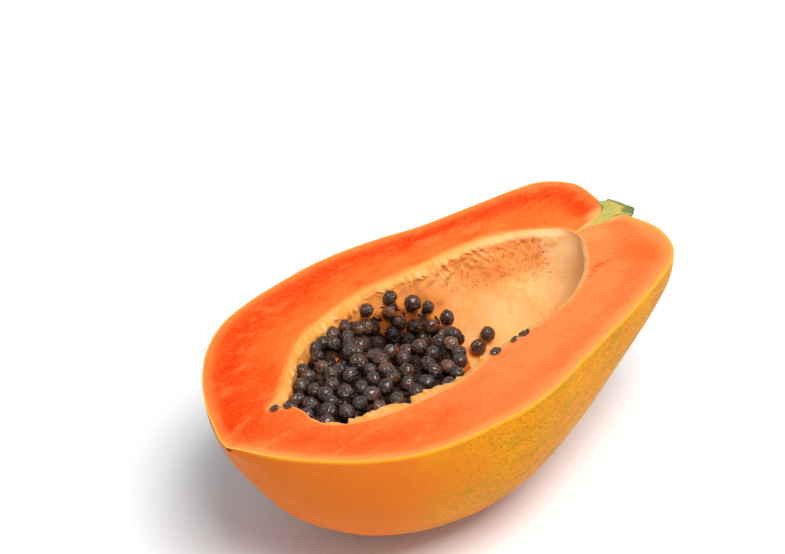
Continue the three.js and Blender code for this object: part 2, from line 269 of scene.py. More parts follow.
def welded(data: MeshData) -> MeshData:
    """Merges vertices at one place and drops the triangles that collapse.

    Args:
        data: Surface whose rings may meet in one point.

    Returns:
        The surface with its double points as one.
    """
    keys = np.round(data.points, 5)
    _, first, inverse = np.unique(keys, axis=0, return_index=True, return_inverse=True)
    faces = inverse.reshape(-1)[data.faces]
    kept = (
        (faces[:, 0] != faces[:, 1])
        & (faces[:, 1] != faces[:, 2])
        & (faces[:, 2] != faces[:, 0])
    )
    values = {name: numbers[first] for name, numbers in data.values.items()}
    return MeshData(data.points[first], faces[kept], data.slots[kept], values)


def joined(first: MeshData, second: MeshData) -> MeshData:
    """Two surfaces with the same values as one."""
    return MeshData(
        np.concatenate([first.points, second.points]),
        np.concatenate([first.faces, second.faces + len(first.points)]),
        np.concatenate([first.slots, second.slots]),
        {name: np.concatenate([first.values[name], second.values[name]]) for name in first.values},
    )


def flattened(values: dict[str, np.ndarray]) -> dict[str, np.ndarray]:
    """Values of rings of points as one row of numbers each."""
    return {name: numbers.reshape(-1) for name, numbers in values.items()}


def grid_faces(rows: int, columns: int, closed: bool) -> np.ndarray:
    """Triangles of a grid of vertices.

    Args:
        rows: Vertices along the first axis.
        columns: Vertices along the second axis.
        closed: Whether the last column joins the first.

    Returns:
        Triangles by vertex number, two for each cell, in the order of the cells.
    """
    wide = columns if closed else columns - 1
    row, column = np.meshgrid(np.arange(rows - 1), np.arange(wide), indexing="ij")
    following = (column + 1) % columns
    a = row * columns + column
    b = row * columns + following
    c = (row + 1) * columns + following
    d = (row + 1) * columns + column
    return np.stack([a, b, c, a, c, d], -1).reshape(-1, 3)


class Workshop:
    """Turns surfaces into Blender objects in the frame."""

    def __init__(self) -> None:
        """Finds where the shapes' own origin lies in the frame, from the fruit's CAD box."""
        low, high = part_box("fruit")
        skin = SKIN_SECTIONS.hanging(
            np.linspace(0, 1, 600)[:, None], np.linspace(0, math.pi, 60)[None, :]
        )
        middle_y = (skin[..., 1].max() + skin[..., 1].min()) / 2
        self.shift = np.array([
            low.x / METRES - skin[..., 0].min(),
            (low.y + high.y) / 2 / METRES - middle_y,
            high.z / METRES,
        ])
        self.box_low = np.array(CAD_BOX[0]) / METRES
        self.box_high = np.array(CAD_BOX[1]) / METRES

    def in_frame(self, point: Place) -> Vector:
        """A point in millimetres of the shapes' own origin, as metres of the frame."""
        return Vector((np.asarray(point) + self.shift) * METRES)

    def make(
        self,
        name: str,
        data: MeshData,
        materials: list[bpy.types.Material],
        sharp_degrees: float = 50,
    ) -> bpy.types.Object:
        """Makes an object with smooth shading, its edges sharp above an angle.

        Args:
            name: Object name.
            data: Surface in millimetres.
            materials: Materials by slot number.
            sharp_degrees: Angle between faces above which their edge is sharp.

        Returns:
            The object, linked to the scene.
        """
        places = np.clip(data.points + self.shift, self.box_low, self.box_high) * METRES
        mesh = bpy.data.meshes.new(name)
        mesh.from_pydata(places.tolist(), [], data.faces.tolist())
        for material in materials:
            mesh.materials.append(material)
        mesh.polygons.foreach_set("material_index", data.slots.astype(np.int32))
        for value_name, numbers in data.values.items():
            attribute = mesh.attributes.new(value_name, "FLOAT", "POINT")
            attribute.data.foreach_set("value", numbers.astype(np.float32))
        mesh.shade_smooth()
        mesh.set_sharp_from_angle(angle=math.radians(sharp_degrees))
        mesh.update()
        piece = bpy.data.objects.new(name, mesh)
        bpy.context.scene.collection.objects.link(piece)
        return piece


# ---------------------------------------------------------------- shader building


class Signal:
    """A shader socket that carries a number. Arithmetic on it adds Math nodes."""

    def __init__(self, shader: "Shader", socket: bpy.types.NodeSocket) -> None:
        """Wraps a socket of a shader."""
        self.shader = shader
        self.socket = socket

    def _math(self, operation: str, *values: Any) -> "Signal":
        """Adds a Math node over values in order.

        Args:
            operation: Name of the Math node's operation.
            *values: Numbers or signals for its inputs.

        Returns:
            The node's result.
        """
        inputs = dict(enumerate(values))
        node = self.shader.node("ShaderNodeMath", {"operation": operation}, inputs)
        return Signal(self.shader, node.outputs[0])

    def __add__(self, other: Any) -> "Signal":
        """Adds a number or a signal."""
        return self._math("ADD", self, other)

    def __radd__(self, other: Any) -> "Signal":
        """Adds to a number."""
        return self._math("ADD", other, self)

    def __sub__(self, other: Any) -> "Signal":
        """Takes a number or a signal away."""
        return self._math("SUBTRACT", self, other)

    def __rsub__(self, other: Any) -> "Signal":
        """Is taken away from a number."""
        return self._math("SUBTRACT", other, self)

    def __mul__(self, other: Any) -> "Signal":
        """Multiplies by a number or a signal."""
        return self._math("MULTIPLY", self, other)

    def __rmul__(self, other: Any) -> "Signal":
        """Multiplies a number."""
        return self._math("MULTIPLY", other, self)

    def size(self) -> "Signal":
        """The number without its sign."""
        return self._math("ABSOLUTE", self)

    def at_most(self, other: Any) -> "Signal":
        """The smaller of this and another."""
        return self._math("MINIMUM", self, other)

    def at_least(self, other: Any) -> "Signal":
        """The larger of this and another."""
        return self._math("MAXIMUM", self, other)

    def step(self, low: float, high: float) -> "Signal":
        """Rises smoothly from 0 at low to 1 at high, or falls where low is above high.

        Args:
            low: Value at which the result is 0.
            high: Value at which it is 1.

        Returns:
            The result, from 0 to 1.
        """
        ends = (0.0, 1.0) if low < high else (1.0, 0.0)
        node = self.shader.node(
            "ShaderNodeMapRange",
            {"interpolation_type": "SMOOTHSTEP"},
            {"Value": self, "From Min": min(low, high), "From Max": max(low, high),
             "To Min": ends[0], "To Max": ends[1]},
        )
        return Signal(self.shader, node.outputs[0])


class Shader:
    """Builds one material."""

    def __init__(self, name: str) -> None:
        """Starts a material with a Principled shader and its output.

        Args:
            name: Name of the material.
        """
        self.material = bpy.data.materials.new(name)
        self.material.use_nodes = True
        self.tree = self.material.node_tree
        self.tree.nodes.clear()
        self.surface = self.node("ShaderNodeBsdfPrincipled")
        output = self.node("ShaderNodeOutputMaterial")
        self.tree.links.new(self.surface.outputs[0], output.inputs["Surface"])

    def node(
        self,
        kind: str,
        settings: dict[str, Any] | None = None,
        inputs: dict[str | int, Any] | None = None,
    ) -> bpy.types.Node:
        """Adds a node.

        Args:
            kind: Blender's name of the node type.
            settings: Properties that are set first. stops is a ramp's list of place and colour.
            inputs: Values or links by socket name or number.

        Returns:
            The node.
        """
        node = self.tree.nodes.new(kind)
        for name, value in (settings or {}).items():
            if name == "stops":
                self._set_stops(node.color_ramp, value)
            else:
                setattr(node, name, value)
        for name, value in (inputs or {}).items():
            self.connect(node.inputs[name], value)
        return node

    @staticmethod
    def _set_stops(ramp: bpy.types.ColorRamp, stops: list[tuple[float, Colour]]) -> None:
        """Gives a ramp its stops."""
        while len(ramp.elements) < len(stops):
            ramp.elements.new(1.0)
        for element, (place, colour) in zip(ramp.elements, stops):
            element.position = place
            element.color = (*colour, 1.0)

    def connect(self, socket: bpy.types.NodeSocket, value: Any) -> None:
        """Links a signal or a socket to an input, or sets its value."""
        if isinstance(value, Signal):
            self.tree.links.new(value.socket, socket)
        elif isinstance(value, bpy.types.NodeSocket):
            self.tree.links.new(value, socket)
        elif isinstance(value, tuple) and socket.type == "RGBA":
            socket.default_value = (*value, 1.0)
        else:
            socket.default_value = value

    def place(self, stretch: tuple[float, float, float] = (1, 1, 1)) -> bpy.types.NodeSocket:
        """The surface point in millimetres of the frame, stretched along its axes.

        Args:
            stretch: How many times finer the pattern is along each axis.

        Returns:
            The place as a vector.
        """
        coordinates = self.node("ShaderNodeTexCoord").outputs["Object"]
        scale = tuple(part / METRES for part in stretch)
        node = self.node("ShaderNodeVectorMath", {"operation": "MULTIPLY"}, {0: coordinates, 1: scale})
        return node.outputs[0]

    def value(self, name: str) -> Signal:
        """A number kept on the mesh."""
        node = self.node("ShaderNodeAttribute", {"attribute_name": name})
        return Signal(self, node.outputs["Fac"])

    def noise(
        self,
        vector: bpy.types.NodeSocket,
        size: float,
        detail: float = 2.0,
        roughness: float = 0.5,
    ) -> Signal:
        """Cloudy noise about 0.5.

        Args:
            vector: Where it is read.
            size: Size of its clouds, in the vector's units.
            detail: Octaves of finer clouds.
            roughness: Strength of the finer clouds.

        Returns:
            The noise as a signal.
        """
        node = self.node(
            "ShaderNodeTexNoise",
            None,
            {"Vector": vector, "Scale": 1.0 / size, "Detail": detail, "Roughness": roughness},
        )
        return Signal(self, node.outputs["Fac"])

    def dots(
        self, vector: bpy.types.NodeSocket, size: float, reach: float, chance: float
    ) -> Signal:
        """Scattered round dots, 1 inside and 0 outside.

        Args:
            vector: Where they are read.
            size: Distance between the places where a dot may lie.
            reach: Radius of a dot as a share of that distance.
            chance: Level of each place's own random number below which it stays empty.

        Returns:
            The dots as a signal.
        """
        node = self.node(
            "ShaderNodeTexVoronoi", {"feature": "F1"}, {"Vector": vector, "Scale": 1.0 / size}
        )
        near = Signal(self, node.outputs["Distance"]).step(reach, reach * 0.4)
        return near * Signal(self, node.outputs["Color"]).step(chance - 0.04, chance + 0.04)

    def mix(self, share: Any, first: Any, second: Any) -> bpy.types.NodeSocket:
        """Blends two colours, from the first at share 0 to the second at share 1."""
        node = self.node("ShaderNodeMix", {"data_type": "RGBA"}, {0: share, 6: first, 7: second})
        return node.outputs[2]

    def layered(self, base: Any, layers: list[tuple[Any, Colour]]) -> bpy.types.NodeSocket:
        """Lays colours over a base in order, each by its share from 0 to 1."""
        for share, colour in layers:
            base = self.mix(share, base, colour)
        return base

    def ramp(self, share: Signal, stops: list[tuple[float, Colour]]) -> bpy.types.NodeSocket:
        """A colour that follows a number from 0 to 1 through stops."""
        return self.node("ShaderNodeValToRGB", {"stops": stops}, {0: share}).outputs[0]

    def bump(self, height: Signal, distance: float, strength: float = 1.0) -> bpy.types.NodeSocket:
        """A normal from a height.

        Args:
            height: Height from 0 to 1.
            distance: Millimetres that height 1 stands for.
            strength: Share of the effect.

        Returns:
            The normal's socket.
        """
        node = self.node(
            "ShaderNodeBump",
            None,
            {"Strength": strength, "Distance": distance * METRES, "Height": height},
        )
        return node.outputs[0]

    def finish(self, **sockets: Any) -> bpy.types.Material:
        """Sets the surface's sockets, written with _ for spaces, and returns the material."""
        for name, value in sockets.items():
            self.connect(self.surface.inputs[name.replace("_", " ")], value)
        return self.material


# ---------------------------------------------------------------- the fruit


@dataclass(frozen=True)
class SkinFinish:
    """Smooth ripe skin, orange at the blossom end and ochre with olive dots towards the stem."""

    blossom: Colour = (0.71, 0.146, 0.016)
    belly: Colour = (0.65, 0.136, 0.015)
    ochre: Colour = (0.68, 0.245, 0.006)
    golden: Colour = (0.80, 0.315, 0.006)
    tan: Colour = (0.62, 0.22, 0.014)
    olive: Colour = (0.40, 0.22, 0.012)
    dots: Colour = (0.24, 0.085, 0.008)
    rim: Colour = (0.98, 0.40, 0.020)
    scar: Colour = (0.10, 0.03, 0.010)

    def material(self) -> bpy.types.Material:
        """Builds the material.

        Returns:
            The material.
        """
        shader = Shader("papaya_skin")
        place = shader.place()
        long_place = shader.place((0.28, 1, 1))
        along = shader.value("along_mm")
        depth = shader.value("depth_mm")
        clouds = shader.noise(place, 26, 3)
        patches = shader.noise(long_place, 9, 4, 0.6)
        grain = shader.noise(place, 1.1, 2)
        away = (along + (clouds - 0.5) * 50).step(30, 84)
        base = shader.mix(away, self.blossom, self.ochre)
        low = (depth + (clouds - 0.5) * 40).step(34, 70)
        base = shader.mix(low * 0.8, base, self.belly)
        sunny = clouds.step(0.5, 0.72) * away * (1 - low)
        base = shader.mix(sunny * 0.8, base, self.golden)
        stains = shader.noise(shader.place((0.45, 1, 1)), 5.0, 4, 0.65)
        base = shader.mix(stains.step(0.50, 0.66) * away * 0.55, base, self.tan)
        brushed = shader.noise(shader.place((0.16, 1, 1)), 1.8, 3, 0.6)
        olive = patches.step(0.48, 0.66) * away * (1 - low * 0.8)
        base = shader.layered(base, [
            (brushed.step(0.46, 0.70) * away * 0.55, self.golden),
            (brushed.step(0.50, 0.30) * away * 0.45, self.tan),
            (olive * 0.7, self.olive),
        ])
        dotted = away * (patches * 1.3 + clouds * 0.9 - low * 0.3).step(0.25, 0.85)
        marks = shader.dots(shader.place((0.8, 1, 1)), 0.75, 0.50, 0.43) * 0.6
        marks = marks.at_least(shader.dots(shader.place((0.6, 1, 1)), 1.35, 0.36, 0.43) * 0.85)
        marks = marks * dotted
        base = shader.mix(marks, base, self.dots)
        base = shader.mix((grain - 0.5) * 0.5 + 0.1, base, self.golden)
        edge = depth.step(1.8, 0.2) * (1 - shader.value("tip_mm").step(26, 4))
        base = shader.mix(edge * 0.85, base, self.rim)
        scar = (shader.value("tip_mm") + (grain - 0.5) * 1.6).step(2.3, 0.9)
        base = shader.mix(scar, base, self.scar)
        pores = shader.noise(place, 0.7, 3)
        height = pores * 0.5 - marks * 0.35 - scar * 1.5
        return shader.finish(
            Base_Color=base,
            Roughness=0.40 + marks * 0.2 + (clouds - 0.5) * 0.1,
            Normal=shader.bump(height, 0.16, 0.7),
            Subsurface_Weight=0.15,
            Subsurface_Radius=(1.0, 0.35, 0.1),
            Subsurface_Scale=0.0025,
            Specular_IOR_Level=0.025,
        )


@dataclass(frozen=True)
class FleshFinish:
    """Cut flesh, deep red-orange with a pale rim, fine fibres and pale lines at the stem end."""

    rim: Colour = (0.96, 0.44, 0.055)
    under_rim: Colour = (0.96, 0.33, 0.085)
    far_outer: Colour = (0.92, 0.125, 0.012)
    far_inner: Colour = (0.95, 0.120, 0.010)
    far_edge: Colour = (0.96, 0.185, 0.030)
    deep: Colour = (0.90, 0.042, 0.0005)
    near_outer: Colour = (0.95, 0.200, 0.038)
    near_middle: Colour = (0.94, 0.115, 0.016)
    near_inner: Colour = (0.95, 0.185, 0.034)
    near_stem: Colour = (0.96, 0.250, 0.068)
    near_band: Colour = (0.93, 0.175, 0.036)
    cream: Colour = (0.97, 0.50, 0.150)
    faded: Colour = (0.97, 0.34, 0.070)
    crease: Colour = (0.78, 0.075, 0.006)

    def material(self) -> bpy.types.Material:
        """Builds the material.

        Returns:
            The material.
        """
        shader = Shader("papaya_flesh")
        place = shader.place()
        along = shader.value("along_mm")
        across = shader.value("across")
        left = shader.value("left")
        rim = shader.value("rim_mm")
        edge = shader.value("edge_mm")
        clouds = shader.noise(place, 15, 3, 0.55)
        streaks = shader.noise(shader.place((0.12, 1, 1)), 2.2, 3, 0.6)
        grain = shader.noise(shader.place((0.5, 1, 1)), 0.7, 2)
        across = across + (clouds - 0.5) * 0.26 + (streaks - 0.5) * 0.22
        far = shader.ramp(across, [
            (0.03, self.far_outer),
            (0.30, self.deep),
            (0.62, self.far_inner),
            (1.0, self.far_edge),
        ])
        near = shader.ramp(across, [
            (0.05, self.near_outer),
            (0.42, self.near_middle),
            (0.60, self.near_middle),
            (1.0, self.near_inner),
        ])
        stemward = (along + (clouds - 0.5) * 60).step(80, 165)
        middle = (along + (clouds - 0.5) * 60).step(40, 125)
        near = shader.mix(middle * 0.9, near, self.near_stem)
        band = across.step(0.14, 0.26) * across.step(0.52, 0.34)
        near = shader.mix(band * middle * 0.75, near, self.near_band)
        far = shader.mix(stemward * across.step(0.25, 0.8) * 0.75, far, self.far_edge)
        base = shader.mix(left, near, far)
        blossom = (along + (clouds - 0.5) * 20).step(70, 20) * rim.step(3, 12) * (0.35 + left * 0.65)
        base = shader.mix(blossom * 0.7, base, self.deep)
        blotches = shader.noise(shader.place((0.5, 1, 1)), 8, 4, 0.65)
        deeper = blotches.step(0.50, 0.72) * rim.step(2, 8) * (0.25 + left * 0.3)
        under = (rim + (clouds - 0.5) * 2.0).step(6.0, 0.9) * (1 - left * 0.5)
        near_edge = (edge + (grain - 0.5) * 0.6).step(1.0, 0.2)
        faded = (edge + (clouds - 0.5) * 5 + (streaks - 0.5) * 3).step(3.6, 0.2) * left
        creased = shader.value("crease") * (0.35 + grain)
        base = shader.layered(base, [
            (deeper, self.deep),
            (blotches.step(0.50, 0.30) * 0.4, self.near_stem),
            (shader.value("blush"), self.far_outer),
            ((streaks - 0.48).at_least(0) * 0.9, self.far_edge),
            ((grain - 0.5).at_least(0) * 1.3, self.near_stem),
            ((0.5 - grain).at_least(0) * 1.2, self.deep),
            (under * 0.8, self.under_rim),
            ((rim + left * 0.5).step(1.8, 0.5) * 0.95, self.rim),
            (shader.value("cream"), self.cream),
            (near_edge * 0.5, self.cream),
            (faded * 0.75, self.faded),
            (creased.at_most(0.9), self.crease),
        ])
        height = streaks * 0.6 + grain * 0.5
        return shader.finish(
            Base_Color=base,
            Roughness=0.50 + (grain - 0.5) * 0.25,
            Normal=shader.bump(height, 0.14, 0.7),
            Subsurface_Weight=0.25,
            Subsurface_Radius=(1.0, 0.25, 0.06),
            Subsurface_Scale=0.002,
            Specular_IOR_Level=0.03,
        )


@dataclass(frozen=True)
class LiningFinish:
    """Soft pale lining of the seed cavity, peach to yellow with specks and orange hollows that are partly
    painted shade, painted light on the stem end's bowl and painted shade under the heap.
    """

    peach: Colour = (0.99, 0.48, 0.175)
    yellow: Colour = (0.99, 0.53, 0.150)
    cream: Colour = (0.99, 0.53, 0.195)
    gold: Colour = (0.97, 0.38, 0.060)
    orange: Colour = (0.95, 0.31, 0.065)
    faded: Colour = (0.97, 0.38, 0.085)
    # pale: colour of the stem end's bowl, partly painted light.
    pale: Colour = (0.995, 0.60, 0.27)
    valley_orange_and_shade: Colour = (0.95, 0.29, 0.042)
    specks: Colour = (0.40, 0.10, 0.014)
    stained: Colour = (0.93, 0.30, 0.050)
    # wet: near-black under the heap, partly painted shade.
    wet: Colour = (0.24, 0.045, 0.006)

    def material(self) -> bpy.types.Material:
        """Builds the material.

        Returns:
            The material.
        """
        shader = Shader("papaya_lining")
        place = shader.place()
        depth = shader.value("depth_mm")
        ridge = shader.value("ridge")
        patch = shader.value("patch")
        streak = shader.value("streak")
        near_heap = shader.value("heap_mm")
        clouds = shader.noise(place, 9, 3, 0.6)
        fine = shader.noise(place, 1.6, 3, 0.6)
        grain = shader.noise(place, 0.6, 2)
        left = shader.value("left")
        tufted = shader.noise(place, 3.2, 3, 0.6)
        base = shader.mix(clouds.step(0.42, 0.68), self.peach, self.yellow)
        warmed = near_heap.step(30, 4) * clouds.step(0.2, 0.6)
        fringe = depth.step(9.0, 1.5) * shader.value("along_mm").step(178, 150)
        faded = (depth + (tufted - 0.5) * 4).step(1.6, 0.1) * left
        # Paler towards the stem end's bowl: partly the lining's own pale colour, partly painted light on
        # a wall that lies in shade.
        bowl = (shader.value("along_mm") + (clouds - 0.5) * 10).step(180, 196)
        rough = (patch + (fine - 0.5) * 0.5).step(0.25, 0.95)
        hollow = shader.value("hollow") * (0.6 + fine * 0.8)
        base = shader.layered(base, [
            (tufted.step(0.50, 0.72) * 0.45, self.orange),
            (tufted.step(0.48, 0.30) * 0.5, self.cream),
            ((depth + (clouds - 0.5) * 3).step(4.2, 0.4) * 0.65, self.cream),
            (warmed * (0.5 + left * 0.4), self.orange),
            (fringe * (0.25 + tufted * 0.8), self.gold),
            (faded * 0.6, self.faded),
            (bowl * 0.85, self.pale),
            (rough * 0.8, self.orange),
            # The folds' hollows: partly the lining's own orange, partly painted shade.
            (hollow.at_most(1.0) * 0.7, self.valley_orange_and_shade),
            (ridge * 0.75, self.cream),
            (streak * (0.3 + fine * 0.6), self.yellow),
        ])
        dots = shader.dots(place, 0.85, 0.50, 0.44)
        speckled = (patch * 1.7 + (clouds - 0.5) * 1.2 + 0.08).step(0.08, 0.65)
        dots = dots.at_least(shader.dots(place, 0.55, 0.42, 0.40) * 0.8) * speckled
        dots = dots * (tufted + fine * 0.5).step(0.55, 0.80)
        base = shader.mix(dots * 0.85, base, self.specks)
        beside = near_heap + (fine - 0.5) * 4.0 + (clouds - 0.5) * 2.0
        stained = beside.step(3.6, -0.4)
        base = shader.mix(stained * 0.8, base, self.stained)
        # Near-black under the heap: partly the wet pulp's colour, partly painted shade between the seeds.
        wet = beside.step(-1.0, -3.5)
        base = shader.mix(wet * 0.85, base, self.wet)
        height = fine * 0.8 + grain * 0.3 - dots * 0.4
        return shader.finish(
            Base_Color=base,
            Roughness=0.44 - stained * 0.18 + (grain - 0.5) * 0.2,
            Normal=shader.bump(height, 0.28, 0.7),
            Subsurface_Weight=0.4,
            Subsurface_Radius=(1.0, 0.45, 0.16),
            Subsurface_Scale=0.004,
            Specular_IOR_Level=0.2,
        )


def distance_to_line(points: Points, start: Place, end: Place) -> np.ndarray:
    """Distance in plan from points to the straight line between two places of the face.

    Args:
        points: Points to measure from.
        start: One end of the line.
        end: Its other end.

    Returns:
        Distances in millimetres.
    """
    low = np.array(start[:2])
    run = np.array(end[:2]) - low
    share = np.clip(((points[..., :2] - low) @ run) / (run @ run), 0, 1)
    return np.linalg.norm(points[..., :2] - (low + share[..., None] * run), axis=-1)


@dataclass
class SeedHeap:
    """The lie of the heap of seeds and the seeds in it.

    Attributes:
        top: Level of the seeds' centres on the high ground of the right side.
        lean: How much lower the high ground is on the left side.
        lean_across: Places across between which it falls that far.
        on_wall: Height of their centres over the bare wall.
        start: Where the heap starts at the blossom end.
        end_line: Where the heap ends at the first place across, how much further for each
            millimetre across, that first place, and the furthest end.
        hollow: Middle x and y, reach along x and y, depth and further depth of the hollow.
        further_along: Places along the fruit between which the further depth grows.
        ceiling: Places along the fruit, and the height above which no seed lies there.
        spacing: Least distance between the centres of neighbouring seeds.
        length: Length of a middling seed.
        width: Width of a middling seed.
        variation: Share by which seeds differ in size.
        seed: Seed of every random draw.
        clearings: Middle x and y and radius of the bare patches.
        pits: Middle x and y and radius of the gaps in the top layer, whose seeds get painted shade.
    """

    top: float = -3.2
    lean: float = 3.4
    lean_across: tuple[float, float] = (-12.0, 26.0)
    on_wall: float = 4.4
    start: float = 36.5
    end_line: tuple[float, float, float, float] = (101.5, 0.95, -26.5, 147.5)
    hollow: tuple[float, ...] = (126, 15, 44, 25, 27, 18)
    further_along: tuple[float, float] = (118.0, 140.0)
    ceiling: tuple[tuple[float, ...], ...] = ((120, 127, 139, 146, 149), (-3, -9, -18, -26, -34))
    spacing: float = 6.6
    length: float = 7.1
    width: float = 6.5
    variation: float = 0.12
    seed: int = 2047
    clearings: tuple[Circle, ...] = ((117.0, 27.0, 2.2), (76.0, 22.0, 3.2), (63.0, 17.0, 2.6))
    pits: tuple[Circle, ...] = ((95.0, 5.0, 5.0), (112.0, 9.0, 6.6))

    def clear(self, points: Points) -> np.ndarray:
        """Millimetres in plan by which points lie inside the nearest bare patch."""
        return self._inside(points, self.clearings)

    def pitted(self, points: Points) -> np.ndarray:
        """Millimetres in plan by which points lie inside the nearest gap in the top layer."""
        return self._inside(points, self.pits)

    @staticmethod
    def _inside(points: Points, circles: tuple[Circle, ...]) -> np.ndarray:
        """Millimetres in plan by which points lie inside the nearest of some circles."""
        depths = [radius - np.hypot(points[..., 0] - x, points[..., 1] - y) for x, y, radius in circles]
        return np.max(depths, axis=0)

    def height(self, x: np.ndarray, y: np.ndarray, wall: np.ndarray) -> np.ndarray:
        """Height of the heap over plan points.

        Args:
            x: Places along the fruit.
            y: Places across it.
            wall: Height of the cavity's wall there.

        Returns:
            Heights of the seeds' centres.
        """
        middle_x, middle_y, reach_x, reach_y, depth, further = self.hollow
        across = ((x - middle_x) / reach_x) ** 2 + ((y - middle_y) / reach_y) ** 2
        inside = smoothstep(0, 0.8, 1 - across)
        drop = (depth + further * smoothstep(*self.further_along, x)) * inside
        ground = np.maximum(self.high_ground(y) - drop, wall + self.on_wall)
        return np.minimum(self.highest(x, y), ground)

    def high_ground(self, y: np.ndarray) -> np.ndarray:
        """Level of the heap's high ground, for a place across."""
        return self.top - self.lean * smoothstep(*self.lean_across, y)

    def highest(self, x: np.ndarray, y: np.ndarray) -> np.ndarray:
        """Level above which no seed's centre lies, over plan points."""
        return np.minimum(self.high_ground(y), np.interp(x, self.ceiling[0], self.ceiling[1]))

    def end(self, y: np.ndarray) -> np.ndarray:
        """Where the heap ends towards the stem, for a place across."""
        first_end, growth, first_y, furthest = self.end_line
        return np.minimum(first_end + growth * (y - first_y), furthest)

    def beyond(self, points: Points) -> np.ndarray:
        """Millimetres in plan by which points lie outside the heap.

        Args:
            points: Points of the cavity.

        Returns:
            Distances, negative inside the heap.
        """
        past_end = points[..., 0] - self.end(points[..., 1])
        before_start = self.start - points[..., 0]
        return np.maximum(past_end * 0.8, before_start)


@dataclass(frozen=True)
class Folds:
    """A row of folds across the lining.

    Attributes:
        spacing: Distance from fold to fold along the fruit.
        slant: How far a fold runs along the fruit for each millimetre of depth.
        wobble: How far broad unevenness shifts it.
        flutter: How far fine unevenness shifts it.
        sharpness: Power that narrows the crests.
        height: How far the crests stand in.
        along: Stretch of the fruit that has the folds.
    """

    spacing: float
    slant: float
    wobble: float
    flutter: float
    sharpness: float
    height: float
    along: Stretch

    def crests(
        self, x: np.ndarray, depth: np.ndarray, wobble: np.ndarray, flutter: np.ndarray
    ) -> np.ndarray:
        """How near points are to a crest.

        Args:
            x: Places along the fruit.
            depth: Depths under the cut face.
            wobble: Broad unevenness from -1 to 1.
            flutter: Fine unevenness from -1 to 1.

        Returns:
            1 on a crest and 0 between crests.
        """
        shifted = x - self.slant * depth + self.wobble * wobble + self.flutter * flutter
        return (0.5 + 0.5 * np.cos(2 * math.pi * shifted / self.spacing)) ** self.sharpness


